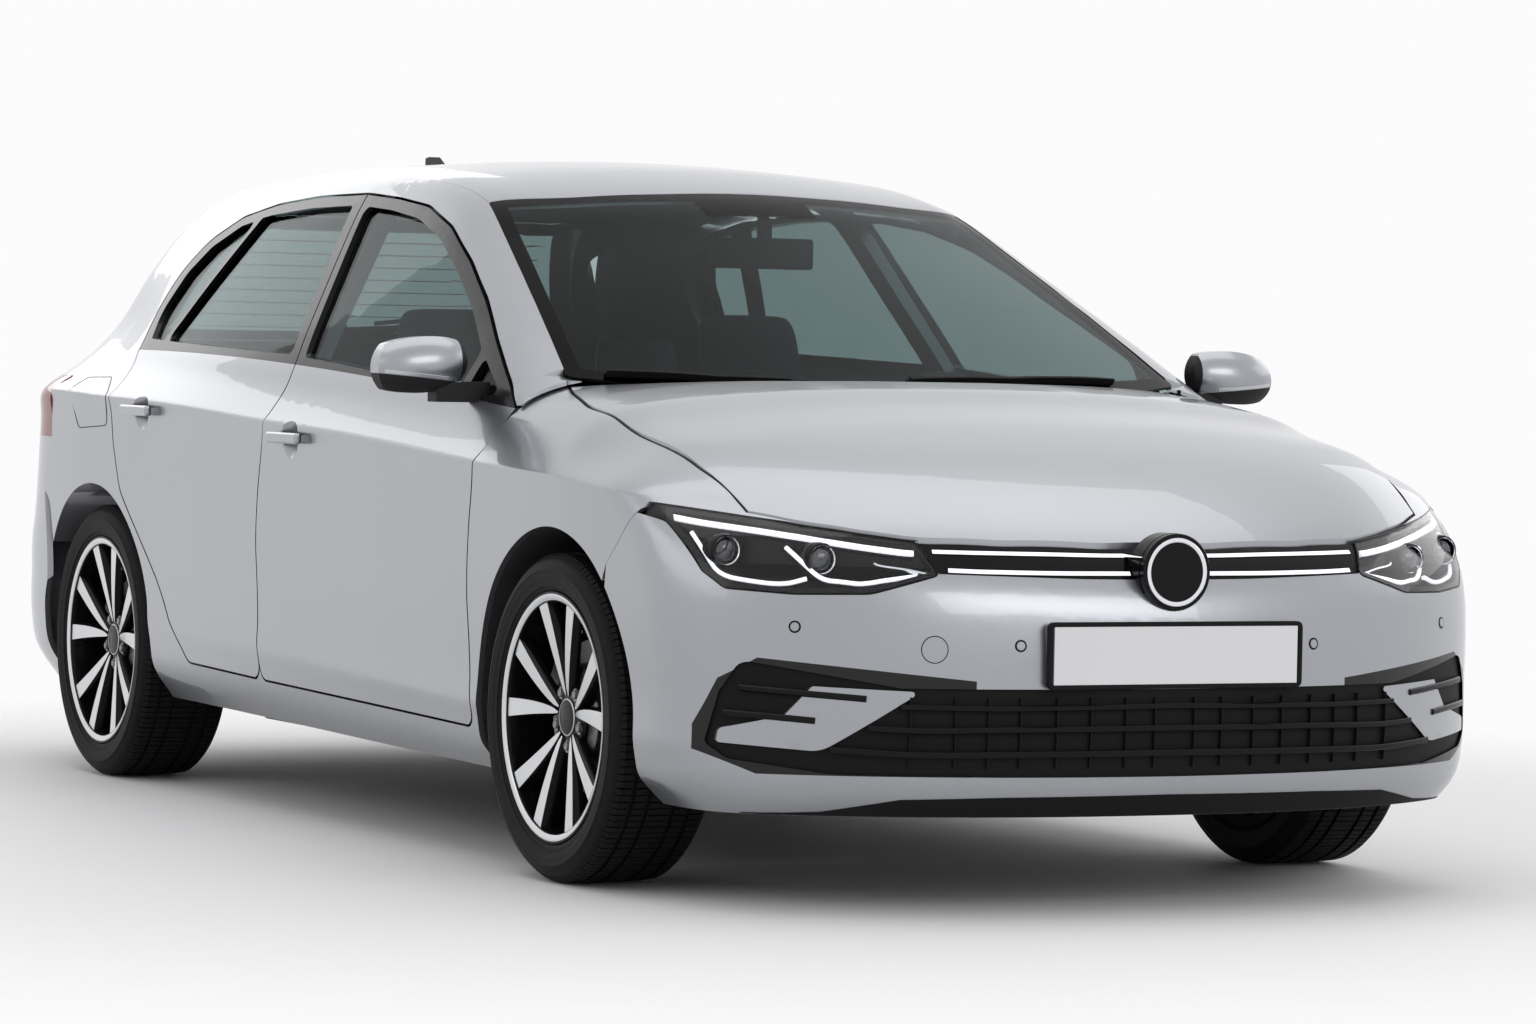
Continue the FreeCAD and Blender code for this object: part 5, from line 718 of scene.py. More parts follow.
def makeStudio():
    bpy.ops.mesh.primitive_plane_add(size=60, location=(0, 0, -0.0005))
    floor = bpy.context.object
    floor.name = "studioFloor"
    recipe = Recipe("studioFloorFinish", Roughness=0.6, Specular_IOR_Level=0.15)
    across, along = recipe.axis("X"), recipe.axis("Y")
    reach = recipe.maths("SQRT", across * across + along * along)
    near = recipe.make("ShaderNodeMapRange", {"interpolation_type": "SMOOTHSTEP"},
                       {"Value": reach, "From Min": studio["fadeStart"], "From Max": studio["fadeEnd"],
                        "To Min": 1.0, "To Max": 0.0})
    tone = studio["floorTone"]
    recipe.paint({"Base_Color": recipe.blend(recipe.noise(0.35, 1.0), tone, tuple(c * 1.02 for c in tone)),
                  "Alpha": near})
    floor.data.materials.append(recipe.material)
    world = bpy.data.worlds.new("studio")
    scene.world = world
    world.use_nodes = True
    tree = world.node_tree
    background = tree.nodes["Background"]
    rays = tree.nodes.new("ShaderNodeLightPath")
    seen = rays.outputs["Is Camera Ray"]
    for output in ("Is Glossy Ray", "Is Transmission Ray"):
        either = tree.nodes.new("ShaderNodeMath")
        either.operation = "MAXIMUM"
        tree.links.new(seen, either.inputs[0])
        tree.links.new(rays.outputs[output], either.inputs[1])
        seen = either.outputs[0]
    strength = tree.nodes.new("ShaderNodeMapRange")
    tree.links.new(seen, strength.inputs["Value"])
    strength.inputs["To Min"].default_value = studio["skyShade"]
    strength.inputs["To Max"].default_value = studio["skyShown"]
    tree.links.new(strength.outputs[0], background.inputs["Strength"])
    background.inputs["Color"].default_value = (0.97, 0.97, 0.98, 1)
    areas = (("keyLamp", (0.4, 0.0, 5.2), (0, 0, 0.5), (7.0, 3.4), studio["keyPower"]),
             ("sideLamp", (1.0, -6.5, 3.4), (0, 0, 0.6), (7.5, 2.4), studio["sidePower"]),
             ("farLamp", (-0.5, 6.5, 3.4), (0, 0, 0.6), (7.5, 2.4), studio["sidePower"]),
             ("frontLamp", (7.5, 1.2, 3.2), (1.5, 0, 0.6), (5.0, 2.4), studio["frontPower"]),
             ("backLamp", (-7.5, 0.0, 3.4), (-1.5, 0, 0.6), (5.0, 2.4), studio["backPower"]))
    for name, place, target, size, power in areas:
        data = bpy.data.lights.new(name, "AREA")
        data.shape = "RECTANGLE"
        data.size, data.size_y = size
        data.energy = power
        lamp = bpy.data.objects.new(name, data)
        scene.collection.objects.link(lamp)
        lamp.location = place
        lamp.rotation_euler = (Vector(target) - Vector(place)).to_track_quat("-Z", "Y").to_euler()
    scene.view_settings.view_transform = "Standard"


def makeCamera():
    view = {"place": (11.019, -5.231, 1.0526), "yaw": 153.7317, "pitch": -1.7748, "roll": 1.1056,
            "focalPixels": 5553.35, "frameWidth": 1536}
    data = bpy.data.cameras.new("camera")
    camera = bpy.data.objects.new("camera", data)
    scene.collection.objects.link(camera)
    data.sensor_width = 36
    data.lens = view["focalPixels"] * 36 / view["frameWidth"]
    data.clip_end = 200
    yaw, pitch, roll = (math.radians(view[key]) for key in ("yaw", "pitch", "roll"))
    look = Vector((math.cos(yaw) * math.cos(pitch), math.sin(yaw) * math.cos(pitch), math.sin(pitch)))
    right = look.cross(Vector((0, 0, 1))).normalized()
    up = right.cross(look)
    turnedRight = right * math.cos(roll) + up * math.sin(roll)
    turnedUp = up * math.cos(roll) - right * math.sin(roll)
    camera.matrix_world = Matrix((turnedRight, turnedUp, -look)).transposed().to_4x4()
    camera.location = view["place"]
    scene.camera = camera


makeStudio()
makeCamera()
print("studio and camera ready")


bothSides = [side for side, sign in sides]
corners = [end + "%s_" + side for end in ("front", "rear") for side in bothSides]
dressing = {
    "bumperPaint": ["front_bumper"], "roofPaint": ["roof_panel"], "bonnetPaint": ["bonnet"],
    "gatePaint": ["tailgate"],
    "paint": ["rear_bumper", "bumper_blades"] + ["fender_" + side for side in bothSides],
    "sidePaint": ["side_frame_" + side for side in bothSides],
    "doorPaint": [corner % "_door" for corner in corners],
    "glass": [corner % "_door_glass" for corner in corners],
    "screen": ["windscreen"], "backlight": ["tailgate_glass"], "gloss": ["upper_grille", "antenna_fin"],
    "grain": ["lower_grille", "cowl_panel", "steering_column", "interior_mirror", "fuel_tank", "dashboard"],
    "mirrorPaint": ["door_mirror_" + side for side in bothSides], "castMetal": ["engine_block", "radiator"],
    "underPaint": ["floor_pan", "front_subframe", "rear_axle"] + ["knuckle_" + side for side in bothSides],
    "heatSteel": ["exhaust"], "lens": ["headlamps"], "redLens": ["tail_lamps"],
    "plate": ["number_plate_front", "number_plate_rear"],
    "hide": ["front_seat_left", "front_seat_right", "rear_bench", "steering_wheel"],
    "alloy": ["rim_" + corner % "" for corner in corners],
    "rubber": ["tyre_" + corner % "" for corner in corners]}
for finish, names in dressing.items():
    for name in names:
        for slot in nodes[name].material_slots:
            slot.material = finishes[finish]
        if not nodes[name].material_slots:
            nodes[name].data.materials.append(finishes[finish])
print("frame nodes dressed")

wheel = {"front": (1.274, 0.7745, 0.3185), "rear": (-1.362, 0.760, 0.3185), "pitches": 68,
         "grooveRadius": 0.3085,
         "lugCircle": 0.056, "valveCircle": 0.2130, "pairs": 5}
spoke = {"steps": 14, "hubRadius": 0.042, "ringRadius": 0.221, "face": 0.071, "dish": 0.026,
         "dishPower": 0.85,
         "depth": 0.020, "lowest": 0.0575, "start": 0.006, "splay": 0.0605, "splayPower": 1.25, "root": 0.005,
         "growth": 0.035, "growthPower": 0.55, "flare": 0.004, "bevel": 0.0014}
caliperForm = {"middle": -62, "spread": 24, "steps": 8, "wall": 0.1545, "tightening": 0.10}
caliperSection = ((0.112, 0.0265), (0.112, 0.0420), (0.158, 0.0430), (0.1660, 0.0360), (0.1660, -0.0260),
                  (0.1560, -0.0330), (0.108, -0.0330), (0.108, -0.0110), (0.1545, -0.0100), (0.1545, 0.0260))
# Rounds of the rim as a profile, count of sides and material: barrel, faced lip, hub, cap ring, cap
rimRounds = (([(0.2425, 0.0985), (0.2425, 0.1022), (0.2398, 0.1030), (0.2250, 0.0985), (0.2225, 0.0900),
               (0.2195, 0.0500),
               (0.2120, 0.0200), (0.2120, -0.0700), (0.2190, -0.0880), (0.2215, -0.1025), (0.2425, -0.1025),
               (0.2425, -0.0985), (0.2295, -0.0885), (0.2165, -0.0700), (0.2165, 0.0200), (0.2235, 0.0500),
               (0.2292, 0.0870), (0.2425, 0.0985)], 96, 0),
             ([(0.2388, 0.1010), (0.2384, 0.1034), (0.2376, 0.1036), (0.2272, 0.1006), (0.2264, 0.0998),
               (0.2262, 0.0970), (0.2388, 0.1010)], 96, 1),
             ([(0, 0.0555), (0.066, 0.0555), (0.070, 0.0600), (0.067, 0.0655), (0.045, 0.0675),
               (0.0375, 0.0680), (0.0370, 0.0600), (0, 0.0600)], 60, 0),
             ([(0.0365, 0.0590), (0.0365, 0.0706), (0.0355, 0.0714), (0.0340, 0.0716), (0.0335, 0.0712),
               (0.0335, 0.0590), (0.0365, 0.0590)], 60, 2),
             ([(0, 0.0590), (0.0334, 0.0590), (0.0334, 0.0704), (0.0300, 0.0712), (0.0200, 0.0722),
               (0, 0.0726)], 60, 0))
nutProfile = [(0, 0.0650), (0.0125, 0.0650), (0.0128, 0.0686), (0.0100, 0.0676), (0.0084, 0.0672),
              (0.0082, 0.0720), (0.0070, 0.0730), (0.0040, 0.0724), (0, 0.0716)]
valveProfile = [(0, 0.0700), (0.0045, 0.0700), (0.0040, 0.0900), (0.0036, 0.0960), (0.0030, 0.0985),
                (0, 0.0985)]
discProfile = [(0.0350, 0.0380), (0.0350, 0.0550), (0.0980, 0.0550), (0.1040, 0.0510), (0.1060, 0.0200),
               (0.1490, 0.0200),
               (0.1500, 0.0190), (0.1500, -0.0030), (0.1490, -0.0040), (0.1000, -0.0040), (0.0990, 0.0000),
               (0.0980, 0.0440), (0.0940, 0.0470), (0.0400, 0.0470), (0.0350, 0.0380)]
carcassSide = [(0.2290, 0.0860), (0.2355, 0.0925), (0.2425, 0.0958), (0.2440, 0.1000), (0.2500, 0.1042),
               (0.2530, 0.1052),
               (0.2536, 0.1072), (0.2570, 0.1080), (0.2576, 0.1078), (0.2660, 0.1108), (0.2755, 0.1124),
               (0.2830, 0.1120),
               (0.2836, 0.1124), (0.2868, 0.1118), (0.2872, 0.1110), (0.2980, 0.1080), (0.3045, 0.1030),
               (0.3085, 0.0965), (0.3103, 0.0900), (0.3110, 0.0600), (0.3115, 0.0300)]
blockRows = (((-0.0235, 0.3185), (0.0235, 0.3185), 0.0), ((0.0325, 0.3184), (0.0575, 0.3180), 0.006),
             ((-0.0575, 0.3180), (-0.0325, 0.3184), -0.006),
             ((0.0665, 0.3176), (0.0890, 0.3162), (0.0975, 0.3098), 0.003),
             ((-0.0975, 0.3098), (-0.0890, 0.3162), (-0.0665, 0.3176), -0.003))


def turnedAbout(radius, angle, y):
    return Vector((radius * math.sin(angle), y, radius * math.cos(angle)))


def makeTread(name, centre, body):
    maker = Maker(name, finishes["rubber"])
    pitch = 2 * math.pi / wheel["pitches"]
    for row in blockRows:
        skew = row[-1]
        stations = row[:-1]
        points = []
        for share in (0.06, 0.45, 0.53, 0.94):
            for y, radius in stations:
                angle = pitch * share + skew * (y - stations[0][0]) / 0.03
                points.append(turnedAbout(radius, angle, y))
                points.append(turnedAbout(wheel["grooveRadius"], angle, y))
        wide = len(stations)
        for start in (0, 4 * wide):
            here = points[start:start + 4 * wide]
            faces = []
            for k in range(wide - 1):
                a, b, c, e = 2 * k, 2 * k + 2, 2 * wide + 2 * k, 2 * wide + 2 * k + 2
                faces += [(a, b, e, c), (a + 1, c + 1, e + 1, b + 1), (a, a + 1, b + 1, b),
                          (c, e, e + 1, c + 1)]
            last = 2 * (wide - 1)
            faces += [(0, 2 * wide, 2 * wide + 1, 1), (last, last + 1, 2 * wide + last + 1, 2 * wide + last)]
            maker.add(here, faces)
    piece = repeated(maker, wheel["pitches"], (0, pitch, 0), centre)
    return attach(piece, body)


def addSpoke(rim, centre, sign, turn, hand):
    # one of a pair of spokes, wider towards the rim, with a faced front
    points = []
    reach = spoke["ringRadius"] - spoke["hubRadius"]
    power = spoke["splayPower"]
    for i in range(spoke["steps"] + 1):
        t = i / spoke["steps"]
        radius = spoke["hubRadius"] + reach * t
        offset = hand * (spoke["start"] + spoke["splay"] * t ** power)
        slope = math.atan(hand * spoke["splay"] * power * t ** (power - 1) / reach)
        half = (spoke["root"] + spoke["growth"] * t ** spoke["growthPower"]) / 2
        face = spoke["face"] + spoke["dish"] * t ** spoke["dishPower"]
        low = max(face - spoke["depth"], spoke["lowest"])
        bevel = min(spoke["bevel"], half * 0.4)
        foot = half + spoke["flare"]
        for across, y in ((-half + bevel, face), (half - bevel, face), (half, face - bevel), (foot, low),
                          (-foot, low),
                          (-half, face - bevel)):
            local = Vector((offset + across * math.cos(slope), radius - across * math.sin(slope)))
            x = local.x * math.cos(turn) + local.y * math.sin(turn)
            z = -local.x * math.sin(turn) + local.y * math.cos(turn)
            points.append(centre + Vector((x, y * sign, z)))
    for face in rim.loft(points, 6)[:6 * spoke["steps"]:6]:
        face.material_index = 1


def makeWheel(end, side, sign):
    body = "%s_%s_wheel" % (end, side)
    corner = end + "_" + side
    cx, cy, cz = wheel[end]
    centre = Vector((cx, cy * sign, cz))
    outward = Vector((0, sign, 0))
    tyre = Maker("tyreCarcass_" + corner, finishes["rubber"])
    profile = carcassSide + [(0.3116, 0.0)] + [(radius, -place) for radius, place in reversed(carcassSide)]
    tyre.turned(profile + profile[:1], centre, outward, 96)
    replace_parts(tyre.finish(body, angle=50), "tyre_" + corner)
    makeTread("tyreTread_" + corner, centre, body)

    rim = Maker("alloyWheel_" + corner, finishes["gloss"], finishes["turnedFace"], finishes["satin"],
                finishes["steel"])
    for profile, count, material in rimRounds:
        rim.turned(profile, centre, outward, count, material)
    for pair in range(wheel["pairs"]):
        turn = 2 * math.pi * pair / wheel["pairs"]
        for hand in (-1, 1):
            addSpoke(rim, centre, sign, turn, hand)
        lug = turnedAbout(wheel["lugCircle"], turn + math.pi / wheel["pairs"], 0)
        rim.turned(nutProfile, centre + lug, outward, 12, 3)
    rim.turned(valveProfile, centre + turnedAbout(wheel["valveCircle"], math.pi / wheel["pairs"], 0),
               outward, 10, 0)
    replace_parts(rim.finish(body, angle=40), "rim_" + corner)

    disc = Maker("brakeDisc_" + corner, finishes["discSteel"])
    disc.turned(discProfile, centre, outward, 72)
    disc.finish(body, angle=30)
    caliper = Maker("brakeCaliper_" + corner, finishes["castMetal"])
    wall = caliperForm["wall"]
    points = []
    for i in range(caliperForm["steps"] + 1):
        place = 2 * i / caliperForm["steps"] - 1
        turn = math.radians(caliperForm["middle"] + caliperForm["spread"] * place)
        tight = 1 - caliperForm["tightening"] * abs(place) ** 3
        points += [centre + turnedAbout(wall + (radius - wall) * tight, turn, y * sign) for radius,
                   y in caliperSection]
    caliper.loft(points, len(caliperSection))
    caliper.finish(side + "_knuckle" if end == "front" else "shell", angle=30)


for side, sign in sides:
    for end in ("front", "rear"):
        makeWheel(end, side, sign)
print("wheels made")


def laidDisc(maker, cast, place, profile, count=24, material=0):
    # small turned piece standing on a surface
    found = cast(*place)
    if found:
        maker.turned(profile, found[0], found[1], count, material)


def chosenFaces(name, test):
    # joined faces of a frame node that pass a test, as points, normals and index triples
    mesh = nodes[name].data
    joined = bmesh.new()
    joined.from_mesh(mesh)
    bmesh.ops.remove_doubles(joined, verts=joined.verts, dist=0.00002)
    joined.normal_update()
    order = {}
    points = []
    faces = []
    for face in joined.faces:
        if test(face.calc_center_median(), face.normal):
            loop = []
            for vert in face.verts:
                if vert.index not in order:
                    order[vert.index] = len(points)
                    points.append(vert.co.copy())
                loop.append(order[vert.index])
            faces.append(tuple(loop))
    normals = [Vector((0, 0, 0)) for point in points]
    for face in faces:
        flat = (points[face[1]] - points[face[0]]).cross(points[face[2]] - points[face[0]])
        for i in face:
            normals[i] += flat
    joined.free()
    return points, [normal.normalized() for normal in normals], faces


lamp = {"lensWall": 0.0025, "bucketWall": 0.002, "bucketGap": 0.0006, "maskInset": 0.006, "maskDepth": 0.005,
        "projectorRadius": 0.0235,
        "housing": [(1.32, -0.030), (1.32, 0.004), (1.26, 0.008), (1.10, 0.006), (1.06, -0.004),
                    (1.06, -0.030), (1.32, -0.030)],
        "bezel": [(1.16, 0.0065), (1.14, 0.0095), (1.07, 0.0078), (1.06, 0.0040), (1.16, 0.0065)],
        "lines": (("topStrip", 0.0115, 0.010, 0), ("hookOne", 0.0075, 0.016, 0),
                  ("hookTwo", 0.0075, 0.016, 0),
                  ("chromeLine", 0.004, 0.008, 1)),
        "border": [(-0.845, 0.747), (-0.727, 0.7265), (-0.626, 0.712), (-0.4723, 0.6916), (-0.4455, 0.629),
                   (-0.5761, 0.5911),
                   (-0.6995, 0.5882), (-0.8006, 0.5955), (-0.8274, 0.6261), (-0.8525, 0.7134)],
        "topStrip": [(-0.845, 0.727), (-0.806, 0.718), (-0.737, 0.708), (-0.665, 0.696), (-0.589, 0.683),
                     (-0.508, 0.672), (-0.484, 0.671)],
        "hookOne": [(-0.826, 0.703), (-0.819, 0.662), (-0.807, 0.623), (-0.761, 0.614), (-0.715, 0.609),
                    (-0.676, 0.622)],
        "hookTwo": [(-0.694, 0.681), (-0.675, 0.651), (-0.654, 0.621), (-0.615, 0.617), (-0.585, 0.614),
                    (-0.539, 0.624), (-0.489, 0.632)],
        "chromeLine": [(-0.560, 0.650), (-0.553, 0.645), (-0.510, 0.640), (-0.473, 0.632)],
        "projectors": ((-0.766, 0.664), (-0.622, 0.652)),
        "grilleTop": [(-0.450, 0.669), (-0.399, 0.668), (-0.324, 0.667), (-0.226, 0.666), (-0.125, 0.664),
                      (-0.066, 0.664)],
        "grilleLow": [(-0.432, 0.636), (-0.373, 0.634), (-0.298, 0.633), (-0.219, 0.632), (-0.138, 0.632),
                      (-0.076, 0.632)]}


def showsInLamp(normal):
    # whether a face of the lamp block belongs to its clear front
    return normal.x > 0.06 and (normal.x > 0.2 or abs(normal.y) > 0.9)


def sunk(path, normals, depth):
    return [point - normal * depth for point, normal in zip(path, normals)]


def makeHeadlamp(side, sign):
    hand = -sign
    skin = Skin("headlamps")

    def ahead(y, z):
        return skin.ahead(y * hand, z)

    lens = Maker("headlampLens_" + side, finishes["lens"])
    points, normals, faces = chosenFaces("headlamps", lambda centre,
                                         normal: centre.y * sign > 0 and showsInLamp(normal))
    lens.shell(points, normals, faces, lamp["lensWall"])
    shellPiece = lens.finish("shell", angle=60)
    if side == "left":
        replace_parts(shellPiece, "headlamps")
    bucket = Maker("headlampHousing_" + side, finishes["gloss"])
    points, normals, faces = chosenFaces("headlamps", lambda centre,
                                         normal: centre.y * sign > 0 and not showsInLamp(normal))
    bucket.shell(points, normals, faces, lamp["bucketWall"], lift=-lamp["bucketGap"])
    bucket.finish("shell", angle=30)

    mask = Maker("headlampMask_" + side, finishes["gloss"])
    line = inset(densified(lamp["border"] + lamp["border"][:1], 0.012)[:-1], lamp["maskInset"])
    path, evened = laid(line, ahead)
    mask.strip(sunk(path, evened, lamp["maskDepth"]), evened, 0.013, 0.0012, closed=True)
    mask.finish("shell")

    lights = Maker("headlampLights_" + side, finishes["whiteLight"], finishes["chrome"], finishes["gloss"])
    for key, width, depth, material in lamp["lines"]:
        path, evened = laid(rounded(lamp[key], 0.008), ahead)
        path = sunk(path, evened, depth)
        lights.strip(path, evened, width, 0.004, 0.004, material=material)
        if material == 0:
            lights.strip(sunk(path, evened, 0.004), evened, width + 0.007, 0.003, 0.004, material=2)
    lights.finish("shell")

    beams = Maker("headlampProjectors_" + side, finishes["gloss"], finishes["optic"], finishes["chrome"])
    turns = [math.radians(angle) for angle in range(90, 0, -10)]
    dome = [(0, -0.006), (1, -0.006)] + [(math.sin(turn),
                                          -0.004 + 0.016 * math.cos(turn)) for turn in turns] + [(0, 0.012)]
    for y, z in lamp["projectors"]:
        centre = ahead(y, z)[0] - Vector((0.034, -0.016 * sign, 0))
        for profile, material in ((lamp["housing"], 0), (lamp["bezel"], 2), (dome, 1)):
            sized = [(share * lamp["projectorRadius"], place) for share, place in profile]
            beams.turned(sized, centre, (1, 0, 0), 32, material)
    beams.finish("shell")

    strips = Maker("grilleLights_" + side, finishes["whiteLight"], finishes["gloss"])
    grille = Skin("upper_grille")
    for key in ("grilleTop", "grilleLow"):
        line = [(y * hand, z) for y, z in lamp[key]]
        path, evened = laid(rounded(line, 0.01), grille.ahead)
        strips.strip(path, evened, 0.0085, 0.0022, 0.001)
        strips.strip(path, evened, 0.0125, 0.0010, 0.001, material=1)
    strips.finish("shell")


for side, sign in sides:
    makeHeadlamp(side, sign)
print("headlamps made")

front = {"barOne": [(0.527, 0.387), (0.440, 0.386), (0.349, 0.385), (0.234, 0.387), (0.113, 0.388),
                    (0, 0.390)],
         "barTwo": [(0.580, 0.348), (0.526, 0.345), (0.465, 0.344), (0.348, 0.347), (0.153, 0.348),
                    (0, 0.349)],
         "barThree": [(0.640, 0.308), (0.575, 0.304), (0.490, 0.300), (0.346, 0.302), (0.151, 0.303),
                      (0, 0.304)],
         "finOne": [(0.778, 0.416), (0.689, 0.409), (0.583, 0.401)],
         "finTwo": [(0.799, 0.369), (0.733, 0.365), (0.664, 0.359)],
         "chin": [(0.76, 0.184), (0.70, 0.186), (0.642, 0.190), (0.582, 0.203), (0.519, 0.216),
                  (0.340, 0.221), (0, 0.224)],
         "chinFoot": [(0.74, 0.1835), (-0.74, 0.1835)],
         "ribs": (0.042, 0.102, 0.173, 0.240, 0.310, 0.370, 0.430, 0.509), "ribEnds": (0.276, 0.405),
         "badge": (2.1330, 0, 0.637), "plateHalf": 0.267, "plateSunk": 0.0035, "plate": (0.426, 0.541)}

# Sensors and the tow cover as places, count of sides and the profiles of seam and face
sensors = ((((-0.314, 0.501), (0.314, 0.501), (-0.70, 0.53), (0.70, 0.53)), 20,
            ([(0, -0.001), (0.0115, -0.001), (0.0115, 0.0006), (0.0100, 0.0008), (0, 0.0008)],
             [(0, 0.0004), (0.0085, 0.0004), (0.0080, 0.0016), (0, 0.0018)])),
           (((-0.471, 0.493),), 32,
            ([(0, -0.001), (0.0255, -0.001), (0.0255, 0.0003), (0, 0.0003)],
             [(0, 0.0002), (0.0240, 0.0002), (0.0236, 0.0010), (0, 0.0012)])))
badgeRounds = (([(0, -0.028), (0.0715, -0.028), (0.0715, 0.0030), (0.0700, 0.0045), (0.0655, 0.0045),
                 (0.0640, 0.0030), (0, 0.0030)], 0),
               ([(0.0640, 0.0020), (0.0636, 0.0050), (0.0620, 0.0060), (0.0570, 0.0060), (0.0555, 0.0048),
                 (0.0552, 0.0020), (0.0640, 0.0020)], 1),
               ([(0, 0.0025), (0.0550, 0.0025), (0.0545, 0.0034), (0.0300, 0.0048), (0, 0.0053)], 0))


def makePlateRim(name, body, x, facing, low, high):
    rim = Maker(name, finishes["grain"])
    corners = [(low[0], low[1]), (high[0], low[1]), (high[0], high[1]), (low[0], high[1])][::facing]
    path = [Vector((x, y, z)) for y, z in filleted([(y, z, 0.008) for y, z in corners], 4)]
    rim.strip(path, [Vector((facing, 0, 0))] * len(path), 0.009, 0.0042, 0.006, closed=True)
    rim.finish(body)


def makeFront():
    bumper = Skin("front_bumper")
    grille = Skin("lower_grille")
    bars = Maker("lowerGrilleBars", finishes["gloss"], finishes["grain"])
    for key, width, proud in (("barOne", 0.010, 0.012), ("barTwo", 0.011, 0.014), ("barThree", 0.011, 0.014)):
        layStrip(bars, rounded(bothHalves(front[key]), 0.02), grille.ahead, 6, width, proud, 0.003)
    for key in ("finOne", "finTwo"):
        for sign in (-1, 1):
            line = rounded([(y * sign, z) for y, z in front[key]], 0.015)
            layStrip(bars, line, grille.ahead, 6, 0.012, 0.010, 0.003, chamfer=0.4)
    for y in front["ribs"]:
        for sign in (-1, 1):
            line = densified([(y * sign, z) for z in front["ribEnds"]], 0.01)
            layStrip(bars, line, grille.ahead, 4, 0.0035, 0.0075, 0.003, material=1)
    bars.finish("shell")

    badge = Maker("grilleBadge", finishes["gloss"], finishes["chrome"], finishes["satin"])
    for profile, material in badgeRounds:
        badge.turned(profile, front["badge"], (1, 0, 0), 64, material)
    badge.finish("shell")

    chin = Maker("frontChin", finishes["grain"])
    outline = bothHalves(front["chin"]) + front["chinFoot"]
    chin.sheet(outline, bumper.ahead, 0.0018, lift=0.0016, step=0.02)
    chin.finish("shell")

    half = front["plateHalf"]
    base, top = front["plate"]
    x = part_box("number_plate_front")[1].x - front["plateSunk"]
    makePlateRim("frontPlateRim", "shell", x, 1, (-half, base), (half, top))

    small = Maker("bumperSensors", finishes["satin"], finishes["gloss"], finishes["paint"])
    for places, count, rounds in sensors:
        for place in places:
            for material, profile in enumerate(rounds):
                laidDisc(small, bumper.ahead, place, profile, count, material + 1)
    small.finish("shell")


makeFront()
print("front details made")

# Cushions as rows of x, z, thickness, share of the width and offset to the side
cushions = {
    "frontSeatCushion": {"width": 0.49, "crown": 0.012, "finish": "seatCloth", "fill": 0.7, "rows": [
        (0.175, 0.395, 0.03, 0.90), (0.165, 0.425, 0.10, 0.97), (0.10, 0.432, 0.13, 1), (0.0, 0.422, 0.13, 1),
        (-0.10, 0.412, 0.13, 1), (-0.20, 0.408, 0.12, 0.98), (-0.255, 0.405, 0.04, 0.95)]},
    "frontSeatBack": {"width": 0.49, "crown": 0.010, "finish": "seatCloth", "fill": 0.7, "rows": [
        (-0.262, 0.405, 0.05, 0.80), (-0.275, 0.45, 0.11, 0.92), (-0.300, 0.55, 0.115, 0.97),
        (-0.335, 0.68, 0.11, 1),
        (-0.375, 0.80, 0.10, 0.97), (-0.405, 0.885, 0.09, 0.86), (-0.425, 0.935, 0.085, 0.66),
        (-0.437, 0.975, 0.085, 0.56),
        (-0.447, 1.02, 0.09, 0.56), (-0.458, 1.065, 0.085, 0.55), (-0.466, 1.095, 0.06, 0.50),
        (-0.470, 1.106, 0.02, 0.44)]},
    "seatBackWing": {"width": 0.075, "crown": 0.004, "finish": "hide", "fill": 0.8, "rows": [
        (-0.235, 0.47, 0.04, 0.7, 0.205), (-0.262, 0.56, 0.085, 1, 0.212), (-0.300, 0.66, 0.09, 1, 0.212),
        (-0.340, 0.76, 0.085, 1, 0.205), (-0.382, 0.845, 0.04, 0.7, 0.185)]},
    "seatCushionWing": {"width": 0.072, "crown": 0.004, "finish": "hide", "fill": 0.8, "rows": [
        (0.125, 0.435, 0.03, 0.7, 0.212), (0.06, 0.455, 0.065, 1, 0.212), (-0.04, 0.452, 0.07, 1, 0.212),
        (-0.14, 0.447, 0.065, 1, 0.212), (-0.20, 0.440, 0.04, 0.7, 0.212)]},
    "rearBenchCushion": {"width": 1.16, "crown": 0.010, "finish": "seatCloth", "fill": 0.7, "rows": [
        (-0.555, 0.375, 0.02, 0.97), (-0.560, 0.43, 0.08, 0.99), (-0.61, 0.452, 0.11, 1),
        (-0.72, 0.446, 0.11, 1),
        (-0.84, 0.440, 0.11, 1), (-0.92, 0.436, 0.10, 1), (-0.945, 0.43, 0.04, 0.98)]},
    "rearBenchBack": {"width": 0.385, "crown": 0.010, "finish": "seatCloth", "fill": 0.7, "rows": [
        (-0.93, 0.44, 0.04, 0.96), (-0.945, 0.50, 0.085, 1), (-0.975, 0.60, 0.09, 1), (-1.005, 0.72, 0.09, 1),
        (-1.035, 0.83, 0.085, 0.99), (-1.055, 0.905, 0.07, 0.97), (-1.065, 0.925, 0.02, 0.92)]},
    "rearHeadRestraint": {"width": 0.235, "crown": 0.006, "finish": "hide", "fill": 0.8, "rows": [
        (-1.062, 0.0, 0.03, 0.85), (-1.064, 0.02, 0.065, 1), (-1.070, 0.0625, 0.075, 1),
        (-1.078, 0.1125, 0.06, 0.95), (-1.080, 0.125, 0.02, 0.8)]},
    "consoleArmrest": {"width": 0.15, "crown": 0.005, "finish": "hide", "fill": 0.8, "rows": [
        (-0.325, 0.505, 0.03, 0.9), (-0.30, 0.528, 0.055, 1), (-0.18, 0.534, 0.065, 1),
        (-0.04, 0.530, 0.065, 1), (0.03, 0.522, 0.055, 1), (0.05, 0.505, 0.03, 0.9)]}}
cushionForm = {"columns": 9, "squareness": 3.2, "edge": 0.42, "tuck": 0.012, "smoothing": 2}
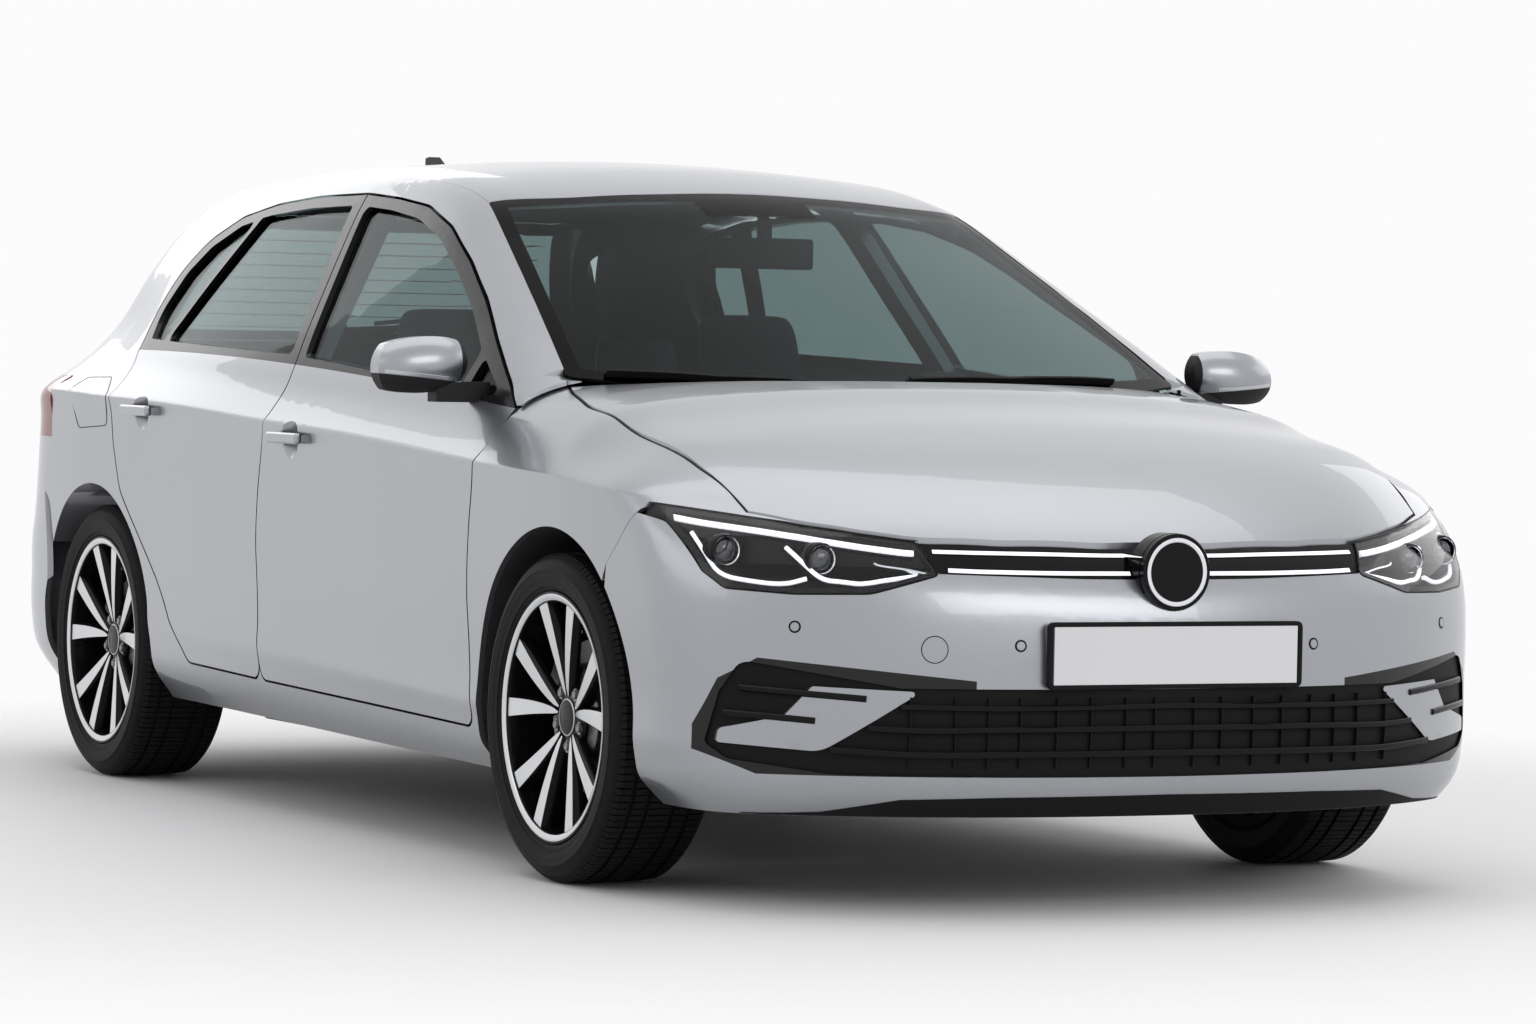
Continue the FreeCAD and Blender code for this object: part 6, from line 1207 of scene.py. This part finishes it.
cabin = {"seatY": 0.370, "benchY": 0.375, "middleBack": 0.36, "backTop": 0.925, "middleRest": 0.64,
         "runnerY": 0.165, "panelY": 0.243}


def puffed(kind, ending="", y=0.0, hand=1, width=None, rows=None):
    # cushion lofted through sections along its side line
    shape = cushions[kind]
    width = width or shape["width"]
    rows = rows or shape["rows"]
    places = [Vector((row[0], y + hand * (row[4] if len(row) > 4 else 0), row[1])) for row in rows]
    across = Vector((0, 1, 0))
    columns = cushionForm["columns"]
    shares = [2 * c / (columns - 1) - 1 for c in range(columns)]
    points = []
    for i, row in enumerate(rows):
        along = (places[min(i + 1, len(rows) - 1)] - places[max(i - 1, 0)]).normalized()
        outward = -across.cross(along)
        for side in (1, -1):
            for share in shares[::side]:
                bulge = 1 - abs(share) ** cushionForm["squareness"]
                half = width * row[3] / 2 - cushionForm["tuck"] * abs(share) ** 6
                full = cushionForm["edge"] + (1 - cushionForm["edge"]) * bulge
                height = side * row[2] / 2 * full + (shape["crown"] * bulge if side > 0 else 0)
                points.append(places[i] + across * (share * half) + outward * height)
    maker = Maker(kind + ending, finishes[shape["finish"]])
    maker.loft(points, 2 * columns)
    piece = maker.finish("shell", angle=180, subdivide=cushionForm["smoothing"])
    return piece


def makeSeat(side, sign):
    y = cabin["seatY"] * sign
    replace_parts(puffed("frontSeatCushion", "_" + side, y), "front_seat_" + side)
    puffed("frontSeatBack", "_" + side, y)
    base = Maker("seatBase_" + side, finishes["grain"], finishes["steel"])
    base.box((-0.24, y - 0.205, 0.29), (0.14, y + 0.205, 0.352), 0.02, 3)
    for hand in (1, -1):
        ending = "_%s_%s" % (side, "out" if hand * sign > 0 else "in")
        puffed("seatBackWing", ending, y, hand)
        puffed("seatCushionWing", ending, y, hand)
        runner = y + hand * cabin["runnerY"]
        panel = y + hand * cabin["panelY"]
        base.box((-0.26, runner - 0.018, 0.2035), (0.15, runner + 0.018, 0.228), 0.004, 2, 1)
        for x in (-0.20, 0.10):
            base.box((x - 0.02, runner - 0.008, 0.22), (x + 0.02, runner + 0.008, 0.31), 0.003, 1, 1)
        base.box((-0.275, panel - 0.009, 0.32), (-0.12, panel + 0.009, 0.40), 0.008, 2)
    base.finish("shell")


def makeBench():
    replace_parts(puffed("rearBenchCushion"), "rear_bench")
    for place, y in (("left", cabin["benchY"]), ("middle", 0.0), ("right", -cabin["benchY"])):
        centre = place == "middle"
        puffed("rearBenchBack", "_" + place, y, width=cabin["middleBack"] if centre else None)
        rows = []
        for x, rise, thickness, share in cushions["rearHeadRestraint"]["rows"]:
            lowered = rise * cabin["middleRest"] if centre and rise > 0.05 else rise
            rows.append((x, cabin["backTop"] + lowered, thickness, share))
        puffed("rearHeadRestraint", "_" + place, y, rows=rows)


for side, sign in sides:
    makeSeat(side, sign)
makeBench()
print("seats made")

steer = {"centre": (0.436, 0.370, 0.8226), "tilt": 24.0, "ring": 0.1675, "grip": (0.0145, 0.0165),
         "spokes": (((-0.158, -0.020, -0.020), (-0.050, 0.026, -0.004)),
                    ((0.050, -0.020, -0.020), (0.158, 0.026, -0.004)),
                    ((-0.020, -0.160, -0.020), (0.020, -0.050, -0.006))),
         "keyX": 0.095, "keyHalf": (0.018, 0.0042), "keyPitch": 0.012}


def makeSteeringWheel():
    centre = Vector(steer["centre"])
    tilt = math.radians(steer["tilt"])
    axis = Vector((-math.cos(tilt), 0, math.sin(tilt)))
    across = Vector((0, 1, 0))
    upward = across.cross(axis)
    if upward.z < 0:
        upward = -upward
    matrix = Matrix((across, upward, axis)).transposed().to_4x4()
    matrix.translation = centre
    rim = Maker("steeringWheelRim", finishes["hide"], finishes["gloss"], finishes["satin"])
    wide, deep = steer["grip"]
    turns = [turn * math.pi / 10 for turn in range(20)]
    ring = [(steer["ring"] + wide * math.cos(turn), deep * math.sin(turn)) for turn in turns]
    rim.turned(ring + ring[:1], centre, axis, 96, 0)
    for low, high in steer["spokes"]:
        rim.box(low, high, 0.006, 3, 1, matrix)
    keyWide, keyHigh = steer["keyHalf"]
    for x in (-steer["keyX"], steer["keyX"]):
        for y in (-steer["keyPitch"], 0, steer["keyPitch"]):
            rim.box((x - keyWide, y - keyHigh, -0.006), (x + keyWide, y + keyHigh, -0.0022), 0.0015, 2, 2,
                    matrix)
    rim.box((-0.060, -0.052, -0.040), (0.060, 0.052, -0.008), 0.018, 4, 0, matrix)
    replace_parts(rim.finish("steering"), "steering_wheel")
    hub = Maker("steeringWheelPad", finishes["hide"], finishes["satin"])
    hub.box((-0.066, -0.056, -0.016), (0.066, 0.050, 0.012), 0.013, 5, 0, matrix)
    hub.turned([(0, 0.011), (0.020, 0.011), (0.020, 0.0135), (0.0185, 0.0142), (0, 0.0142)], centre, axis,
               32, 1)
    hub.finish("steering")


# Dash boxes as low corner, high corner, radius, segments and material
dashBoxes = (((0.600, 0.225, 0.872), (0.735, 0.515, 0.934), 0.020, 4, 0),
             ((0.606, 0.240, 0.782), (0.640, 0.500, 0.868), 0.006, 3, 1),
             ((0.600, -0.135, 0.772), (0.640, 0.125, 0.882), 0.007, 3, 1),
             ((0.603, -0.60, 0.664), (0.640, -0.26, 0.684), 0.004, 2, 2),
             ((0.612, -0.13, 0.640), (0.660, 0.13, 0.690), 0.005, 2, 1))
dash = {"vents": (-0.63, -0.215, 0.185, 0.63), "ventHalf": 0.075, "slatHalf": 0.068, "slats": 4,
        "slatLow": 0.7095, "slatPitch": 0.011, "knobs": (-0.07, 0.0, 0.07), "knobPlace": (0.613, 0.664),
        "knob": [(0, 0.0), (0.017, 0.0), (0.017, 0.014), (0.0155, 0.016), (0, 0.016)],
        "lever": [(0, 0.0), (0.020, 0.0), (0.016, 0.012), (0.010, 0.020), (0.010, 0.062), (0.021, 0.074),
                  (0.023, 0.090), (0.016, 0.102), (0, 0.104)],
        "mirror": ((-0.112, 1.2065), (0.112, 1.2065), (0.112, 1.2620), (-0.112, 1.2620))}


def makeDash():
    trim = Maker("dashTrim", finishes["grain"], finishes["gloss"], finishes["satin"])
    for box in dashBoxes:
        trim.box(*box)
    for y in dash["vents"]:
        wide, slat = dash["ventHalf"], dash["slatHalf"]
        trim.box((0.610, y - wide, 0.700), (0.652, y + wide, 0.752), 0.006, 2, 1)
        for k in range(dash["slats"]):
            z = dash["slatLow"] + k * dash["slatPitch"]
            trim.box((0.6045, y - slat, z - 0.0016), (0.616, y + slat, z + 0.0016), 0.0006, 1, 2)
    x, z = dash["knobPlace"]
    for y in dash["knobs"]:
        trim.turned(dash["knob"], (x, y, z), (-1, 0, 0), 24, 2)
    trim.finish("shell")
    console = Maker("centreConsole", finishes["grain"], finishes["gloss"], finishes["satin"])
    console.box((-0.34, -0.088, 0.30), (0.66, 0.088, 0.478), 0.022, 4, 0)
    console.box((0.12, -0.062, 0.474), (0.50, 0.062, 0.484), 0.004, 2, 1)
    console.turned(dash["lever"], (0.255, 0, 0.482), (0, 0, 1), 32, 2)
    console.finish("shell")
    puffed("consoleArmrest")
    glass = Maker("interiorMirrorGlass", finishes["mirrorGlass"])
    corners = filleted([(y, z, 0.012) for y, z in dash["mirror"]], 4)
    glass.sheet(corners, Skin("interior_mirror").behind, 0.0015, lift=0.0012, step=0.03)
    glass.finish("shell")


doorMirror = {"glass": ((0.868, 0.935), (1.016, 0.945), (1.022, 1.026), (0.876, 1.030)), "fillet": 0.018,
              "line": (0.895, 0.95, 1.026), "lineBase": 0.8835, "lineSlope": 0.09}
tail = {"arm": [(-0.02, 1.050), (0.16, 1.064), (0.33, 1.082)],
        "blade": [(0.06, 1.074), (0.22, 1.092), (0.37, 1.110)],
        "pivot": [(0, -0.002), (0.021, -0.002), (0.021, 0.012), (0.017, 0.016), (0, 0.017)],
        "plateGap": 0.006,
        "disc": [(0, -0.002), (0.050, -0.002), (0.050, 0.004), (0.047, 0.006), (0, 0.007)],
        "discPlace": (0, 0.905),
        "ring": [(0.050, 0.001), (0.050, 0.0065), (0.0475, 0.0080), (0.0450, 0.0065), (0.0450, 0.001),
                 (0.050, 0.001)],
        "stop": [(-0.17, 1.3415), (0.17, 1.3415)],
        "bars": ([(0.640, 0.905), (0.72, 0.922), (0.800, 0.924)],
                 [(0.640, 0.872), (0.72, 0.880), (0.815, 0.884)],
                 [(0.640, 0.812), (0.72, 0.808), (0.805, 0.818)]),
        "reflector": [(0.56, 0.372), (0.66, 0.376), (0.76, 0.386)],
        "skirt": [(-0.70, 0.222), (0.70, 0.222), (0.735, 0.300), (0.62, 0.330), (-0.62, 0.330),
                  (-0.735, 0.300)]}
flank = {"flap": [(-1.5500, 0.9330, 0.02), (-1.3700, 0.9360, 0.03), (-1.2700, 0.8950, 0.03),
                  (-1.2650, 0.8240, 0.02), (-1.4600, 0.8140, 0.03)],
         "wipers": ([(1.082, -0.02), (1.060, 0.22), (0.995, 0.50)],
                    [(1.066, -0.28), (1.030, -0.42), (0.945, -0.63)])}


def makeMirrorParts(side, sign):
    cap = Skin("door_mirror_" + side)
    body = "front_%s_door" % side
    glass = Maker("mirrorGlass_" + side, finishes["mirrorGlass"])
    corners = [(y * sign, z, doorMirror["fillet"]) for y, z in doorMirror["glass"]][::sign]
    glass.sheet(filleted(corners, 5), cap.behind, 0.0015, lift=0.0010, step=0.02)
    glass.finish(body)
    line = Maker("mirrorIndicator_" + side, finishes["satin"])
    points = [(y * sign, doorMirror["lineBase"] + y * doorMirror["lineSlope"]) for y in doorMirror["line"]]
    layStrip(line, densified(points, 0.006), cap.ahead, 4, 0.007, 0.0022, 0.001)
    line.finish(body)


def makeRearDetails():
    gate = Skin("tailgate", "tailgate_glass").behind
    bumper = Skin("rear_bumper").behind
    lamps = Skin("tail_lamps").behind
    wiper = Maker("rearWiper", finishes["grain"], finishes["gloss"])
    layStrip(wiper, densified(tail["arm"], 0.02), gate, 4, 0.016, 0.010, 0.001, fall=0.9)
    layStrip(wiper, densified(tail["blade"], 0.02), gate, 4, 0.009, 0.007, 0.001)
    laidDisc(wiper, gate, tail["arm"][0], tail["pivot"], 28, 1)
    wiper.finish("tailgate_lid")

    low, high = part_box("number_plate_rear")
    gap = tail["plateGap"]
    makePlateRim("rearPlateRim", "tailgate_lid", low.x + 0.0035, -1, (low.y - gap, low.z - gap),
                 (high.y + gap, high.z + gap))
    badge = Maker("tailgateRelease", finishes["gloss"], finishes["chrome"])
    laidDisc(badge, gate, tail["discPlace"], tail["disc"], 48, 0)
    laidDisc(badge, gate, tail["discPlace"], tail["ring"], 48, 1)
    badge.finish("tailgate_lid")
    stop = Maker("highBrakeLight", finishes["redLens"])
    layStrip(stop, densified(tail["stop"], 0.03), gate, 6, 0.011, 0.003, 0.001)
    stop.finish("tailgate_lid")

    for side, sign in sides:
        bars = Maker("tailLampBars_" + side, finishes["redLight"], finishes["gloss"])
        for points in tail["bars"]:
            layStrip(bars, densified([(y * sign, z) for y, z in points], 0.012), lamps, 4, 0.009, 0.0022,
                     0.001)
        bars.finish("shell")
        reflector = Maker("rearReflector_" + side, finishes["redLens"])
        points = [(y * sign, z) for y, z in tail["reflector"]]
        layStrip(reflector, densified(points, 0.015), bumper, 5, 0.020, 0.0032, 0.001)
        reflector.finish("shell")
    skirt = Maker("rearSkirt", finishes["grain"])
    skirt.sheet(tail["skirt"], bumper, 0.0018, lift=0.0018, step=0.03)
    skirt.finish("shell")


def makeSideDetails():
    skin = Skin("side_frame_right")
    flap = Maker("fuelFlapSeam", finishes["gloss"])
    layStrip(flap, filleted(flank["flap"], 6), lambda x, z: skin.beside(-1, x, z), 2, 0.0028, 0.0007, 0.001,
             closed=True)
    flap.finish("shell")
    screen = Skin("windscreen")
    wipers = Maker("screenWipers", finishes["grain"])
    for line in flank["wipers"]:
        path, evened = laid(densified(line, 0.02), screen.above, 4)
        raised = [point + Vector((0.012, 0, 0.001)) for point in path]
        wipers.strip(path, evened, 0.011, 0.009, 0.001)
        wipers.strip(raised, evened, 0.008, 0.013, 0.001, tapers=tapering(len(path), 0.8))
    wipers.finish("shell")


corner = {"centre": (-1.70, 0.50), "low": 0.690, "high": 0.815, "step": 0.007, "turns": 33, "firstTurn": 12,
          "turnStep": 2.4,
          "open": 0.010, "sunk": 0.0015, "gateEdge": 0.4085, "gateSlope": 0.347}


def makeRearCorner(side, sign):
    # body panel between tail lamp, gate and bumper, bridged over the opening that is left there
    skin = Skin("tail_lamps", "rear_bumper", "side_frame_" + side)
    centre = Vector((corner["centre"][0], corner["centre"][1] * sign, 0))
    rows = int((corner["high"] - corner["low"]) / corner["step"]) + 1
    heights = [corner["low"] + k * corner["step"] for k in range(rows)]
    points, normals, opened = [], [], []
    for i in range(corner["turns"]):
        turn = math.radians(corner["firstTurn"] + i * corner["turnStep"])
        outward = Vector((-math.cos(turn), math.sin(turn) * sign, 0))
        hits = [skin.cast(centre + outward * 2 + Vector((0, 0, z)), -outward) for z in heights]
        reach = [(hit[0] - centre).dot(outward) if hit else 0 for hit in hits]
        for k, z in enumerate(heights):
            level = reach[0] + (reach[-1] - reach[0]) * k / (rows - 1)
            bridged = reach[k] < level - corner["open"]
            radius = (level if bridged else reach[k]) - corner["sunk"]
            points.append(centre + outward * radius + Vector((0, 0, z)))
            normals.append(outward)
            opened.append(bridged)
    clear = [abs(point.y) > corner["gateEdge"] + point.z * corner["gateSlope"] for point in points]
    faces = []
    for i in range(corner["turns"] - 1):
        for k in range(i * rows, i * rows + rows - 1):
            face = (k, k + 1, k + rows + 1, k + rows)
            if any(opened[j] for j in face) and all(clear[j] for j in face):
                faces.append(face if sign > 0 else face[::-1])
    panel = Maker("rearCornerPanel_" + side, finishes["paint"])
    panel.shell(points, normals, faces, 0.0012)
    panel.finish("shell")


makeSteeringWheel()
makeDash()
for side, sign in sides:
    makeMirrorParts(side, sign)
makeRearDetails()
makeSideDetails()
for side, sign in sides:
    makeRearCorner(side, sign)
print("cabin, mirrors, rear and side details made")
